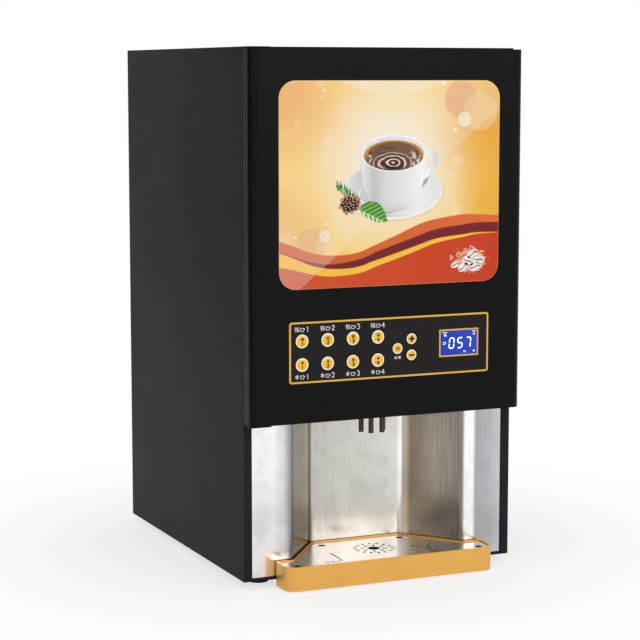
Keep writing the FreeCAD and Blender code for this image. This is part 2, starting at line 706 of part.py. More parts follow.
def canister_lid(x):
    half = CAN_W / 2 + FIT + 1.2
    y0 = CAN_FRONT - FIT - 1.2
    y1 = CAN_REAR + FIT + 1.2
    cap = block(x - half, x + half, y0, y1, CAN_TOP - 7, CAN_TOP + 3)
    room = block(x - half + 1.2, x + half - 1.2, y0 + 1.2, y1 - 1.2, CAN_TOP - 8, CAN_TOP + SLIP)
    grip = block(x - 15, x + 15, (y0 + y1) / 2 - 3, (y0 + y1) / 2 + 3, CAN_TOP + 3, CAN_TOP + 9)
    return joined(less(cap, room), grip)


def canister_spout(x):
    """Elbow on the canister's neck that drops the powder into the bowl."""
    outer_r = TROUGH_R + 0.8 + FIT + 1.5
    y0 = CHUTE_Y - 12
    y1 = CAN_FRONT - 0.5
    elbow = rod_y(outer_r, y0, y1, x, AUGER_Z)
    chute = rod_z(9.0, BOWL_TOP + 8, AUGER_Z, x, CHUTE_Y)
    bore = rod_y(TROUGH_R + 0.8 + FIT, y0 + 1.5, y1 + 1, x, AUGER_Z)
    drop = rod_z(7.5, BOWL_TOP, AUGER_Z, x, CHUTE_Y)
    return less(joined(elbow, chute), bore, drop)


def auger(x):
    """Screw conveyor: shaft, helical flight and the coupling over the motor's shaft."""
    y0 = CAN_FRONT - NECK_LEN
    y1 = CAN_REAR - CAN_WALL - 3
    shaft = rod_y(3.0, y0, y1, 0, AUGER_Z)
    coupling = rod_y(5.0, y1 - 1, UPPER_WALL - 2, 0, AUGER_Z)
    bore = rod_y(2.5 + RUN, y1 + 1, UPPER_WALL, 0, AUGER_Z)
    pitch = 20.0
    length = y1 - y0 - 8
    helix = Part.makeHelix(pitch, length, 6.0)
    inner = 2.2
    rib = Part.makePolygon([vec(inner, 0, -0.8), vec(FLIGHT_R, 0, -0.8), vec(FLIGHT_R, 0, 0.8), vec(inner, 0, 0.8), vec(inner, 0, -0.8)])
    flight = Part.Wire(helix).makePipeShell([rib], True, True)
    flight.rotate(vec(0, 0, 0), Z_AXIS, FLIGHT_START)
    flight.rotate(vec(0, 0, 0), X_AXIS, -90)
    flight.translate(vec(0, y0 + 2, AUGER_Z))
    screw = less(joined(joined(shaft, flight), coupling), bore)
    screw.translate(vec(x, 0, 0))
    return screw


def auger_motor(x):
    """Geared motor behind the module plate."""
    y0 = UPPER_WALL + SHEET + FIT
    gearbox = block(x - 18, x + 18, y0, y0 + 20, AUGER_Z - 18, AUGER_Z + 18)
    motor = rod_y(14.0, y0 + 20, y0 + 48, x, AUGER_Z)
    shaft = rod_y(2.5, CAN_REAR - CAN_WALL - 1, y0, x, AUGER_Z)
    return joined(gearbox, motor, shaft)


def mixing_bowl(i):
    """Bowl on top of a round whipping chamber, with an outlet spigot at the front."""
    x = drink_x(i)
    front = outlet_y(i) - 7
    rear = LOWER_WALL - FIT
    neck_z = WHIP_Z + 12
    shell = [(0, BOWL_TOP), (BOWL_R, BOWL_TOP), (BOWL_R, BOWL_TOP - 20), (13, neck_z + 3), (13, WHIP_Z), (0, WHIP_Z)]
    wall = 1.8
    room = [(0, BOWL_TOP + 1), (BOWL_R - wall, BOWL_TOP + 1), (BOWL_R - wall, BOWL_TOP - 19.2)]
    room += [(13 - wall, neck_z + 3.8), (13 - wall, WHIP_Z), (0, WHIP_Z)]
    bowl = turned(shell, x, BOWL_Y)
    hollow = turned(room, x, BOWL_Y)
    chamber = rod_y(CHAMBER_R, front, rear, x, WHIP_Z)
    spigot_y = outlet_y(i)
    spigot = rod_z(5.2, WHIP_Z - CHAMBER_R - 14, WHIP_Z - 6, x, spigot_y)
    cavity = rod_y(CHAMBER_R - wall, front + wall, rear - wall, x, WHIP_Z)
    drain = rod_z(TUBE_R + FIT, WHIP_Z - CHAMBER_R - 15, WHIP_Z - 5, x, spigot_y)
    bearing = rod_y(3.0, rear - 5, rear + 1, x, WHIP_Z)
    return less(joined(bowl, chamber, spigot), hollow, cavity, drain, bearing)


def turned(profile, x, y):
    """A solid turned about a vertical axis from (radius, height) corners."""
    points = [vec(r, 0, z) for r, z in profile]
    points.append(points[0])
    body = Part.Face(Part.makePolygon(points)).revolve(vec(0, 0, 0), Z_AXIS, 360)
    body.translate(vec(x, y, 0))
    return body


def whipper(i):
    """Four-bladed impeller on a thin shaft that runs into its motor."""
    x = drink_x(i)
    y0 = outlet_y(i) - 3
    shaft = rod_y(2.0, y0, LOWER_WALL + SHEET + FIT + 14, x, WHIP_Z)
    hub = rod_y(4.5, y0, y0 + 12, x, WHIP_Z)
    disc = rod_y(11.0, y0 + 10, y0 + 12, x, WHIP_Z)
    blades = []
    for n in range(2):
        blade = block(-11, 11, y0 + 1, y0 + 11, -0.8, 0.8)
        blade.rotate(vec(0, 0, 0), Y_AXIS, 45 + 90 * n)
        blade.translate(vec(x, 0, WHIP_Z))
        blades.append(blade)
    return joined(shaft, hub, disc, *blades)


def whipper_motor(x):
    y0 = LOWER_WALL + SHEET + FIT
    can = rod_y(18.0, y0 + 3, y0 + 48, x, WHIP_Z)
    face = plate(x - 22, x + 22, WHIP_Z - 22, WHIP_Z + 22, 5, y0, y0 + 3)
    tail = rod_y(6.0, y0 + 48, y0 + 52, x, WHIP_Z)
    bore = rod_y(2.0 + RUN, y0 - 1, y0 + 18, x, WHIP_Z)
    return less(joined(can, face, tail), bore)


def dispense_tube(i):
    """Silicone tube from a bowl's spigot down to the cup, kept in one upright plane."""
    x0 = drink_x(i)
    x1 = nozzle_x(i)
    y = outlet_y(i)
    start = WHIP_Z - CHAMBER_R - 4
    turn_low = CEILING_Z + 26
    turn_high = start - 22
    path = [vec(x0, y, start), vec(x0, y, turn_high), vec(x1, y, turn_low), vec(x1, y, TUBE_TIP)]
    return less(pipe(path, 8.0, TUBE_R), pipe(path, 8.0, TUBE_R - 1))


def nozzle_holder():
    """Plastic plug in the alcove ceiling with four tube holes."""
    body = rod_z(24.0, CEILING_Z - 5, CEILING_Z + SHEET, 0, CUP_Y)
    flange = rod_z(27.0, CEILING_Z + SHEET, CEILING_Z + SHEET + 3, 0, CUP_Y)
    flange = less(flange, block(-30, 30, CUP_Y - 30, SEAM - 0.5, CEILING_Z, CEILING_Z + 10))
    holes = []
    for i in range(DRINKS):
        holes.append(rod_z(TUBE_R + FIT, CEILING_Z - 9, CEILING_Z + 9, nozzle_x(i), outlet_y(i)))
    room = block(-30, 30, CUP_Y - 30, SEAM + 1.5, CEILING_Z - 10, CEILING_Z + 10)
    return less(joined(body, flange), room, *holes)


# ---------------------------------------------------------------- water, cold and power
def boiler():
    """Upright hot-water boiler with a lid ring, three legs and a heater plug."""
    body = rod_z(BOILER_R, BASE + 8, BOILER_TOP - 8, BOILER_X, BOILER_Y)
    lid = rod_z(BOILER_R - 4, BOILER_TOP - 8, BOILER_TOP, BOILER_X, BOILER_Y)
    parts = [lid, rod_z(9, BOILER_TOP, BOILER_TOP + 12, BOILER_X, BOILER_Y)]
    for n in range(3):
        angle = math.radians(120 * n + 30)
        x = BOILER_X + 45 * math.cos(angle)
        y = BOILER_Y + 45 * math.sin(angle)
        parts.append(rod_z(6, BASE + SHEET + 0.2, BASE + 8, x, y))
    room = rod_z(BOILER_R - 2, BASE + 10, BOILER_TOP - 10, BOILER_X, BOILER_Y)
    vent = rod_z(3, BOILER_TOP - 11, BOILER_TOP + 13, BOILER_X, BOILER_Y)
    return less(joined(body, *parts), room, vent)


def tank_limits():
    return -HALF + 20, -HALF + 140, LOWER_WALL + SHEET + 4, BOILER_Y - BOILER_R - 35


def cold_tank():
    """Insulated cold-water tank behind the alcove."""
    x0, x1, y0, y1 = tank_limits()
    points = [(x0, y0), (x1, y0), (x1, y1), (x0, y1)]
    body = rounded_face(points, [8.0] * 4, BASE + SHEET + 0.2).extrude(vec(0, 0, TANK_TOP - BASE - SHEET - 0.2))
    room = block(x0 + 6, x1 - 6, y0 + 6, y1 - 6, BASE + 8, TANK_TOP - 6)
    cap = rod_z(7, TANK_TOP - 3, TANK_TOP + 8, (x0 + x1) / 2, y1 - 14)
    vent = rod_z(3, TANK_TOP - 8, TANK_TOP + 9, (x0 + x1) / 2, y1 - 14)
    return less(joined(body, cap), room, vent)


def compressor():
    """Hermetic cooling compressor on its base plate."""
    x = HALF - 75
    low = BASE + SHEET + 0.2
    can = rod_z(52, low + 16, low + 126, x, PRESSOR_Y)
    can = can.makeFillet(22, [e for e in can.Edges if e.Length > 200])
    base = block(x - 56, x + 56, PRESSOR_Y - 45, PRESSOR_Y + 45, low + 8, low + 11)
    stand = rod_z(35, low + 8, low + 30, x, PRESSOR_Y)
    parts = [base, stand, rod_z(3.5, low + 100, low + 146, x + 20, PRESSOR_Y - 15)]
    for dx in (-46, 46):
        for dy in (-35, 35):
            parts.append(rod_z(7, low, low + 9, x + dx, PRESSOR_Y + dy))
    parts.append(block(x - 62, x - 40, PRESSOR_Y - 16, PRESSOR_Y + 16, low + 50, low + 84))
    room = rod_z(40, low + 30, low + 104, x, PRESSOR_Y)
    port = rod_z(2, low + 100, low + 150, x + 20, PRESSOR_Y - 15)
    return less(joined(can, *parts), room, port)


def valve(x, y, z):
    """Solenoid valve standing on a tank."""
    foot = rod_z(5, z, z + 6, x, y)
    body = block(x - 7, x + 7, y - 7, y + 7, z + 6, z + 16)
    coil = rod_z(8, z + 16, z + 32, x, y)
    spout = rod_z(2.5, z + 32, z + 38, x, y)
    return joined(foot, body, coil, spout)


def water_valves():
    made = []
    for n in range(4):
        angle = math.radians(90 * n + 45)
        x = BOILER_X + 34 * math.cos(angle)
        y = BOILER_Y + 34 * math.sin(angle)
        made.append(valve(x, y, BOILER_TOP + 0.2))
    x0, x1, y0, y1 = tank_limits()
    for n in range(4):
        x = x0 + (n + 0.5) * (x1 - x0) / 4
        made.append(valve(x, y0 + 24, TANK_TOP + 0.2))
    return made


def power_supply():
    """Enclosed power supply on the right side panel."""
    x1 = INSIDE - 0.2
    y0 = BACK - 118
    z0 = TOP - 185
    body = block(x1 - 40, x1, y0, y0 + 100, z0, z0 + 140)
    room = block(x1 - 38.5, x1 - 1.5, y0 + 1.5, y0 + 98.5, z0 + 14, z0 + 138.5)
    cutters = [room]
    for n in range(8):
        z = z0 + 30 + 13 * n
        cutters.append(block(x1 - 41, x1 - 38, y0 + 12, y0 + 88, z, z + 5))
    return less(body, *cutters)


def control_board():
    """Main circuit board on stand-offs at the left side panel."""
    x0 = -INSIDE + 0.2
    y0 = BACK - 148
    z0 = TOP - 185
    body = block(x0 + 8, x0 + 9.6, y0, y0 + 130, z0, z0 + 140)
    parts = []
    for y in (y0 + 6, y0 + 124):
        for z in (z0 + 6, z0 + 134):
            parts.append(rod_x(3, x0, x0 + 8.5, y, z))
    for n in range(5):
        parts.append(block(x0 + 9, x0 + 18, y0 + 8 + 24 * n, y0 + 26 + 24 * n, z0 + 4, z0 + 12))
    parts.append(block(x0 + 9, x0 + 26, y0 + 15, y0 + 50, z0 + 90, z0 + 125))
    parts.append(block(x0 + 9, x0 + 12, y0 + 70, y0 + 95, z0 + 50, z0 + 75))
    return joined(body, *parts)


def fan_frame():
    """Square fan frame with a ring, four struts and the rotor's pin."""
    half = FAN_SIZE / 2
    y1 = FAN_FRONT + 25
    body = plate(FAN_X - half, FAN_X + half, FAN_Z - half, FAN_Z + half, 5, FAN_FRONT, y1)
    body = less(body, rod_y(58.5, FAN_FRONT - 1, y1 + 1, FAN_X, FAN_Z))
    parts = [rod_y(19, y1 - 3, y1, FAN_X, FAN_Z), rod_y(1.5, FAN_FRONT + 9, y1 - 2, FAN_X, FAN_Z)]
    for n in range(2):
        strut = block(-59.2, 59.2, y1 - 3, y1, -3, 3)
        strut.rotate(vec(0, 0, 0), Y_AXIS, 45 + 90 * n)
        strut.translate(vec(FAN_X, 0, FAN_Z))
        parts.append(strut)
    return joined(body, *parts)


def fan_rotor():
    hub = rod_y(19, FAN_FRONT + 2, FAN_FRONT + 21, FAN_X, FAN_Z)
    blades = []
    for n in range(7):
        blade = block(17, 56, -1, 1, -11, 11)
        blade.rotate(vec(0, 0, 0), X_AXIS, 60)
        blade.rotate(vec(0, 0, 0), Y_AXIS, 360.0 * n / 7)
        blade.translate(vec(FAN_X, FAN_FRONT + 11.5, FAN_Z))
        blades.append(blade)
    pin = rod_y(1.5 + RUN, FAN_FRONT + 8, FAN_FRONT + 22, FAN_X, FAN_Z)
    return less(joined(hub, *blades), pin)


SOCKET_Z = INLET_Z - 14
ROCKER_Z = INLET_Z + 18
ROCKER_Y = BACK - 5


def mains_inlet():
    """Appliance inlet with three pins and the seat of the rocker switch."""
    flange = plate(INLET_X - 26, INLET_X + 26, INLET_Z - 32, INLET_Z + 32, 4, BACK + 0.2, BACK + 2.7)
    body = block(INLET_X - 23, INLET_X + 23, BACK - 22, BACK + 1, INLET_Z - 29, INLET_Z + 29)
    socket = block(INLET_X - 12.2, INLET_X + 12.2, BACK - 14, BACK + 4, SOCKET_Z - 8.2, SOCKET_Z + 8.2)
    seat = block(INLET_X - 7, INLET_X + 7, BACK - 14, BACK + 4, ROCKER_Z - 12, ROCKER_Z + 12)
    pivot = rod_x(1.2 + RUN, INLET_X - 10, INLET_X + 10, ROCKER_Y, ROCKER_Z)
    body = less(joined(flange, body), socket, seat, pivot)
    pins = []
    for dx, dz in ((-7, -0.5), (7, -0.5), (0, 4)):
        z = SOCKET_Z + dz
        pins.append(block(INLET_X + dx - 1, INLET_X + dx + 1, BACK - 15, BACK - 1, z - 2, z + 2))
    return joined(body, *pins)


def rocker_key():
    """Rocker of the mains switch, resting in its off position."""
    outline = [(-4, -8), (3, -9), (5.6, -9), (4.0, 0), (5.6, 9), (3, 9), (-4, 8)]
    points = [vec(0, y, z) for y, z in outline]
    points.append(points[0])
    body = Part.Face(Part.makePolygon(points)).extrude(vec(13.4, 0, 0))
    body.translate(vec(-6.7, 0, 0))
    pins = Part.makeCylinder(1.2, 19, vec(-9.5, 0, 0), X_AXIS)
    body = joined(body, pins)
    body.rotate(vec(0, 0, 0), X_AXIS, -8)
    body.translate(vec(INLET_X, ROCKER_Y, ROCKER_Z))
    return body


def water_inlet():
    """Half-inch threaded water connection, clamped in the rear panel by its nut."""
    thread = rod_y(10.48, BACK + FIT, BACK + REAR_REACH, WATER_X, INLET_Z)
    neck = rod_y(9.6, BACK - 18, BACK + FIT + 1, WATER_X, INLET_Z)
    collar = rod_y(14.0, BACK - SHEET - 3.3, BACK - SHEET - 0.3, WATER_X, INLET_Z)
    return less(joined(neck, thread, collar), rod_y(7.0, BACK - 20, BACK + REAR_REACH + 1, WATER_X, INLET_Z))


# ---------------------------------------------------------------- write every node
modules = [drink_x(i) for i in range(DRINKS)]
save("side_panel_left", side_panel(-1))
save("side_panel_right", side_panel(1))
save("top_panel", top_panel())
save("base_pan", base_pan())
save("rear_panel", rear_panel())
save("screws", *screws())
save("rubber_feet", *rubber_feet())
save("hinge_brackets", *hinge_brackets())
save("module_plate", module_plate())
save("alcove_liner", alcove_liner())
save("alcove_ceiling", alcove_ceiling())
save("drip_tray", drip_tray())
save("tray_grid", tray_grid())
save("door_shell", door_shell())
save("door_liner", door_liner())
save("poster_panel", poster_panel())
save("key_fascia", key_fascia())
save("display_module", display_module())
save("key_board", key_board())
for name, x, z, diameter in key_table():
    save(name, key(x, z, diameter))
save("lock_housing", lock_housing())
save("lock_plug", lock_plug())
save("lock_cam", lock_cam())
save("powder_canisters", *[canister(x) for x in modules])
save("canister_lids", *[canister_lid(x) for x in modules])
save("canister_spouts", *[canister_spout(x) for x in modules])
save("auger_motors", *[auger_motor(x) for x in modules])
save("mixing_bowls", *[mixing_bowl(i) for i in range(DRINKS)])
save("whipper_motors", *[whipper_motor(x) for x in modules])
save("dispense_tubes", *[dispense_tube(i) for i in range(DRINKS)])
for i in range(DRINKS):
    save("auger_%d" % (i + 1), auger(drink_x(i)))
    save("whipper_%d" % (i + 1), whipper(i))
save("nozzle_holder", nozzle_holder())
save("boiler", boiler())
save("cold_tank", cold_tank())
save("compressor", compressor())
save("water_valves", *water_valves())
save("power_supply", power_supply())
save("control_board", control_board())
save("fan_frame", fan_frame())
save("fan_rotor", fan_rotor())
save("mains_inlet", mains_inlet())
save("rocker_key", rocker_key())
save("water_inlet", water_inlet())
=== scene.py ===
# Bench-top machine for hot powder drinks: the looks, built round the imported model.
import math

import bmesh
import bpy
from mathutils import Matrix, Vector


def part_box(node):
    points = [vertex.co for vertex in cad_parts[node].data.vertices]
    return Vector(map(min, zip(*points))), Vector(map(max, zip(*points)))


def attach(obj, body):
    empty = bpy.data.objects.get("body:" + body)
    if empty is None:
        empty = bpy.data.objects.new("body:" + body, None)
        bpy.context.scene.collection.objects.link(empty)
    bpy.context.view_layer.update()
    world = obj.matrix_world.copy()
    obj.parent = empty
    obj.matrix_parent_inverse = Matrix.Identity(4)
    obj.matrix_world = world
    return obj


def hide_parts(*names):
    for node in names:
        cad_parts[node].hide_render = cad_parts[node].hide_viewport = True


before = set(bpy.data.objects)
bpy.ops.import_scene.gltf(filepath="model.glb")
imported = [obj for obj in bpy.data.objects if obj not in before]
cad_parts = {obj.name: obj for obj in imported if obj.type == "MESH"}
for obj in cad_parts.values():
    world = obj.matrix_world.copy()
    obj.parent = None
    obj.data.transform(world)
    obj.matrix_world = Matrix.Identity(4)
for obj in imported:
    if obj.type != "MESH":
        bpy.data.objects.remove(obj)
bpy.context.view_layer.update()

# ---- Cabinet sheets: side, top and rear panels and the door shell ----
# Folded mild steel, sprayed with black enamel and baked; the paint has a faint orange-peel skin.
# The returns beside the cup alcove carry the same paint; the lighter, bluer sheen that the light gives them is
# painted onto their colour.


def linear(code):
    """A colour written as hexadecimal sRGB, in the shader's linear values."""
    values = []
    for i in (0, 2, 4):
        c = int(code[i:i + 2], 16) / 255
        values.append(c / 12.92 if c <= 0.04045 else ((c + 0.055) / 1.055) ** 2.4)
    return (*values, 1.0)


class Signal:
    """A shader value; working with it adds the nodes that do the sum."""

    def __init__(self, finish, socket):
        self.finish = finish
        self.socket = socket

    def sum(self, operation, *others):
        return self.finish.add("ShaderNodeMath", {"operation": operation}, 0,
                               {i: v for i, v in enumerate((self, *others))})

    def __add__(self, other):
        return self.sum("ADD", other)

    __radd__ = __add__

    def __mul__(self, other):
        return self.sum("MULTIPLY", other)

    __rmul__ = __mul__

    def __sub__(self, other):
        return self.sum("SUBTRACT", other)

    def __rsub__(self, other):
        return (self * -1.0) + other

    def __truediv__(self, other):
        return self.sum("DIVIDE", other)

    def __abs__(self):
        return self.sum("ABSOLUTE")

    def lower(self, other):
        return self.sum("MINIMUM", other)

    def higher(self, other):
        return self.sum("MAXIMUM", other)

    def root(self):
        return self.sum("SQRT")

    def sine(self):
        return self.sum("SINE")

    def step(self, start, end):
        """0 at start, 1 at end, with an eased slope between."""
        return self.finish.add("ShaderNodeMapRange", {"interpolation_type": "SMOOTHSTEP"}, 0,
                               {0: self, 1: start, 2: end, 3: 0.0, 4: 1.0})


class Finish:
    """One material: its principled shader and the nodes that feed it."""

    def __init__(self, name, **constants):
        self.material = bpy.data.materials.new(name)
        self.material.use_nodes = True
        self.tree = self.material.node_tree
        self.shader = self.tree.nodes["Principled BSDF"]
        self.set(**constants)

    def feed(self, socket, value):
        if isinstance(value, Signal):
            self.tree.links.new(value.socket, socket)
        else:
            socket.default_value = value

    def set(self, **values):
        """Sockets of the principled shader, their names written with underscores."""
        for name, value in values.items():
            self.feed(self.shader.inputs[name.replace("_", " ")], value)

    def add(self, kind, settings, output, sockets):
        """Any node: its settings first, then its sockets; gives one output as a Signal."""
        node = self.tree.nodes.new(kind)
        for name, value in settings.items():
            if name == "stops":
                ramp = node.color_ramp
                while len(ramp.elements) < len(value):
                    ramp.elements.new(0.5)
                for element, (place, colour) in zip(ramp.elements, value):
                    element.position = place
                    element.color = colour
            elif name == "blending":
                node.color_ramp.interpolation = value
            else:
                setattr(node, name, value)
        for name, value in sockets.items():
            self.feed(node.inputs[name], value)
        return Signal(self, node.outputs[output])

    def place(self):
        """Where a point lies on the machine, in metres, moving with its part."""
        return self.add("ShaderNodeTexCoord", {}, "Object", {})

    def axes(self, vector=None):
        vector = vector or self.place()
        node = self.tree.nodes.new("ShaderNodeSeparateXYZ")
        self.feed(node.inputs[0], vector)
        return [Signal(self, out) for out in node.outputs]

    def stretched(self, x, y, z):
        return self.add("ShaderNodeVectorMath", {"operation": "MULTIPLY"}, 0, {0: self.place(), 1: (x, y, z)})

    def noise(self, scale, detail=3.0, roughness=0.55, vector=None):
        return self.add("ShaderNodeTexNoise", {}, 0,
                        {"Vector": vector or self.place(), "Scale": scale, "Detail": detail, "Roughness": roughness})

    def cells(self, scale, vector=None):
        return self.add("ShaderNodeTexVoronoi", {}, 0, {"Vector": vector or self.place(), "Scale": scale})

    def mix(self, mask, first, second):
        """One colour turning into another by a mask."""
        return self.add("ShaderNodeMix", {"data_type": "RGBA"}, 2, {0: mask, 6: first, 7: second})

    def bump(self, height, distance, strength=1.0):
        normal = self.add("ShaderNodeBump", {}, 0, {"Height": height, "Distance": distance, "Strength": strength})
        self.set(Normal=normal)

    def coat(self, *nodes):
        """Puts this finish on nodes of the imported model."""
        for name in nodes:
            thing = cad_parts[name]
            thing.data.materials.clear()
            thing.data.materials.append(self.material)


def enamel(name, colour, sheen, edge=None):
    """Baked black paint: orange-peel skin, faint wipe marks; edge paints a lighter, bluer sheen on the front returns.
    """
    paint = Finish(name, Specular_IOR_Level=sheen)
    smudge = paint.noise(9.0, 4.0, 0.6)
    fine = paint.noise(60.0, 2.0)
    shade = paint.mix(smudge.step(0.35, 0.75), linear(colour[0]), linear(colour[1]))
    if edge:
        # Painted sheen: the front returns get a lighter, bluer colour for the light they catch.
        _, depth, _ = paint.axes()
        shade = paint.mix(depth.step(RETURN_Y + 0.0016, RETURN_Y + 0.0012), shade, linear(edge))
    paint.set(Base_Color=shade, Roughness=smudge * 0.12 + fine * 0.06 + 0.30)
    paint.bump(paint.noise(420.0, 2.0), 0.00004, 0.35)
    return paint


RETURN_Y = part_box("side_panel_left")[0].y
enamel("black_enamel", ("0c0c0d", "0f0f10"), 0.08).coat("door_shell")
# These sheets wear the door's paint; their colour is set a shade lighter than the door's, painted light on these
# faces.
enamel("side_enamel_painted_lighter", ("0f0f10", "121213"), 0.04, "26262c").coat(
    "side_panel_left", "side_panel_right", "top_panel", "rear_panel", "base_pan")

# ---- Bare steel inside: module plate, ceiling, door liner, hinges, screws ----
# Zinc-plated sheet, folded and left unpainted; the plating shows soft grey spangle.
# The screws are plated too and drive into the side panels' rear returns.


def plated(name, dark, light, roughness):
    steel = Finish(name, Metallic=1.0)
    spangle = steel.cells(90.0)
    cloud = steel.noise(14.0)
    steel.set(Base_Color=steel.mix(spangle * 0.6 + cloud * 0.4, linear(dark), linear(light)),
              Roughness=cloud * 0.15 + roughness)
    steel.bump(steel.noise(300.0), 0.00003, 0.3)
    return steel


plated("zinc_plate", "8b8d90", "b4b6b8", 0.30).coat(
    "module_plate", "alcove_ceiling", "door_liner", "power_supply", "lock_cam", "auger_motors", "whipper_motors")
plated("bright_plate", "9a9b9c", "c8c9ca", 0.2).coat("screws", "lock_housing", "lock_plug")
enamel("hinge_enamel", ("121213", "161617"), 0.06).coat("hinge_brackets")

# ---- Cup alcove: the stainless liner ----
# One stainless sheet, folded four times so that it stands round the cup like an open book.
# Its rolled grain runs up and down and is rubbed dull by cleaning.


def stainless(name, dark, light, roughness, grain):
    """Rolled stainless sheet; grain is how much finer the pattern is across than along."""
    steel = Finish(name, Metallic=1.0)
    streaks = steel.noise(1.0, 3.0, 0.6, steel.stretched(*grain))
    cloud = steel.noise(7.0, 4.0, 0.6)
    speckle = steel.noise(260.0, 2.0)
    steel.set(Base_Color=steel.mix(streaks * 0.35 + cloud * 0.35 + speckle * 0.3, linear(dark), linear(light)),
              Roughness=cloud * 0.12 + streaks * 0.08 + roughness)
    steel.bump(streaks + speckle * 0.4, 0.00002, 0.35)
    return steel


liner = Finish("liner_stainless", Metallic=1.0)
# Painted reflections: the tone each fold shows of the room, from the left edge (-1) to the right edge (1); the white
# stops on the bends are painted highlights.
across_liner, _, up_liner = liner.axes()
liner_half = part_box("alcove_liner")[1].x
FOLD_REFLECTIONS = ((-1.0, "f2f0ed"), (-0.80, "fbfaf8"), (-0.72, "dcdbdc"), (-0.675, "8f9098"), (-0.65, "80807f"),
         (-0.62, "a39785"),
         (-0.50, "a59b8e"), (-0.41, "c9b692"), (-0.385, "f6e8c9"), (-0.36, "8e8a88"), (-0.33, "bdb9b4"),
         (-0.10, "cbc7c1"), (0.15, "d3d0cb"), (0.33, "dcd9d5"), (0.352, "ffffff"), (0.385, "ffffff"),
         (0.405, "b5a999"), (0.50, "a39789"), (0.62, "84796f"), (0.655, "756d68"), (0.672, "ffffff"),
         (0.735, "ffffff"),
         (0.755, "a6a7ae"), (0.86, "b4b5bb"), (1.0, "cfd0d4"))
# This ramp paints the folds' reflections and the bends' highlights into the steel's colour.
painted_fold_reflections = liner.add("ShaderNodeValToRGB", {"stops": [(x / 2 + 0.5, linear(c)) for x, c in FOLD_REFLECTIONS]}, 0,
                      {0: across_liner / liner_half * 0.5 + 0.5})
blotch = liner.noise(45.0, 5.0, 0.65)
streaks = liner.noise(1.0, 3.0, 0.6, liner.stretched(600.0, 600.0, 14.0))
# Random blotches and grain streaks laid over the painted reflections.
reflections_and_wear = liner.mix(blotch.step(0.4, 0.75) * 0.22, painted_fold_reflections, linear("8d8781"))
reflections_and_wear = liner.mix(streaks.step(0.3, 0.7) * 0.12, reflections_and_wear, linear("f6f3ef"))
# Darker blotches on the liner, stronger towards the bottom.
low_dark_blotches = liner.noise(9.0, 4.0, 0.6).step(0.45, 0.7) * up_liner.step(0.15, 0.04) * 0.35
reflections_and_wear = liner.mix(low_dark_blotches, reflections_and_wear, linear("857c74"))
liner.set(Base_Color=reflections_and_wear, Roughness=blotch * 0.1 + 0.15)
liner.bump(streaks + blotch * 0.4, 0.00001, 0.3)
liner.coat("alcove_liner")
stainless("grid_stainless", "aea9a2", "dedad4", 0.16, (40.0, 900.0, 900.0)).coat("tray_grid")
stainless("boiler_stainless", "a8a8a8", "d8d8d8", 0.25, (900.0, 900.0, 30.0)).coat("boiler")

# ---- Drip tray ----
# Moulded plastic tray, sprayed with gold metallic paint; a fine glitter and a few dark specks show.
# It stands on the base pan and pulls out to the front.
gold = Finish("gold_paint", Metallic=0.75, Coat_Weight=0.2, Coat_Roughness=0.3)
glitter = gold.cells(1500.0)
tone = gold.noise(25.0)
speck = gold.noise(160.0, 1.0).step(0.78, 0.84)
base = gold.mix(tone * 0.5 + glitter * 0.5, linear("d99a3c"), linear("f2bd64"))
gold.set(Base_Color=gold.mix(speck * 0.5, base, linear("8a5a1c")), Roughness=glitter * 0.15 + 0.32)
gold.bump(gold.noise(500.0), 0.00004, 0.3)
gold.coat("drip_tray")

# ---- Dispensing tubes and their holder ----
# Four brown silicone tubes that come down through a black plug in the alcove's ceiling.
# They carry the mixed drink from the bowls to the cup.
silicone = Finish("brown_silicone", Specular_IOR_Level=0.5)
grip = silicone.noise(200.0)
silicone.set(Base_Color=silicone.mix(grip, linear("2a1214"), linear("4b2a2a")), Roughness=grip * 0.2 + 0.28)
silicone.bump(grip, 0.00005, 0.3)
silicone.coat("dispense_tubes")


def moulded(name, dark, light, roughness, specular=0.4):
    """Plastic from a spark-eroded mould: an even fine texture."""
    plastic = Finish(name, Specular_IOR_Level=specular)
    grain = plastic.noise(700.0, 2.0)
    cloud = plastic.noise(12.0)
    plastic.set(Base_Color=plastic.mix(cloud, linear(dark), linear(light)), Roughness=grain * 0.12 + roughness)
    plastic.bump(grain, 0.00005, 0.35)
    return plastic


moulded("black_plastic", "141414", "1c1c1c", 0.4).coat("nozzle_holder", "mains_inlet", "fan_frame", "fan_rotor",
                                                      "rocker_key")
moulded("foot_rubber", "101010", "181818", 0.7, 0.2).coat("rubber_feet")
moulded("compressor_black", "0f0f10", "1a1a1b", 0.3).coat("compressor")
moulded("food_plastic", "dedcd4", "efeee8", 0.35).coat("canister_lids", "canister_spouts", "mixing_bowls",
                                                      *["auger_%d" % n for n in range(1, 5)],
                                                      *["whipper_%d" % n for n in range(1, 5)])
moulded("smoke_plastic", "9aa3a8", "b9c2c6", 0.2, 0.5).coat("powder_canisters")
moulded("tank_foam", "232325", "303033", 0.8, 0.2).coat("cold_tank")
moulded("valve_plastic", "c9cbd0", "e4e5e8", 0.4).coat("water_valves")
moulded("circuit_board", "0f4a26", "1a6b38", 0.35, 0.5).coat("key_board", "control_board")
plated("turned_brass", "a8803c", "d9b061", 0.22).coat("water_inlet")

# ---- Poster panel ----
# Clear acrylic sheet, printed on its back with a cup of coffee over waves of warm colour, and glued
# into the door. The wash of colour is in the sheet's finish; the drawn things are printed layers.
low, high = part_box("poster_panel")
poster_mid = (low + high) / 2
poster_half = (high - low) / 2
print_y = low.y
MM = 0.001

poster = Finish("poster_print", Specular_IOR_Level=0.12, Coat_Weight=0.1, Coat_Roughness=0.04)
px, _, pz = poster.axes()
across = (px - poster_mid.x) / poster_half.x * 0.5 + 0.5
down = (pz - poster_mid.z) / poster_half.z * -0.5 + 0.5


def distance(x, z):
    """Millimetres from a point given from the poster's middle."""
    dx = (px - (poster_mid.x + x * MM)) * 1000.0
    dz = (pz - (poster_mid.z + z * MM)) * 1000.0
    return (dx * dx + dz * dz).root()


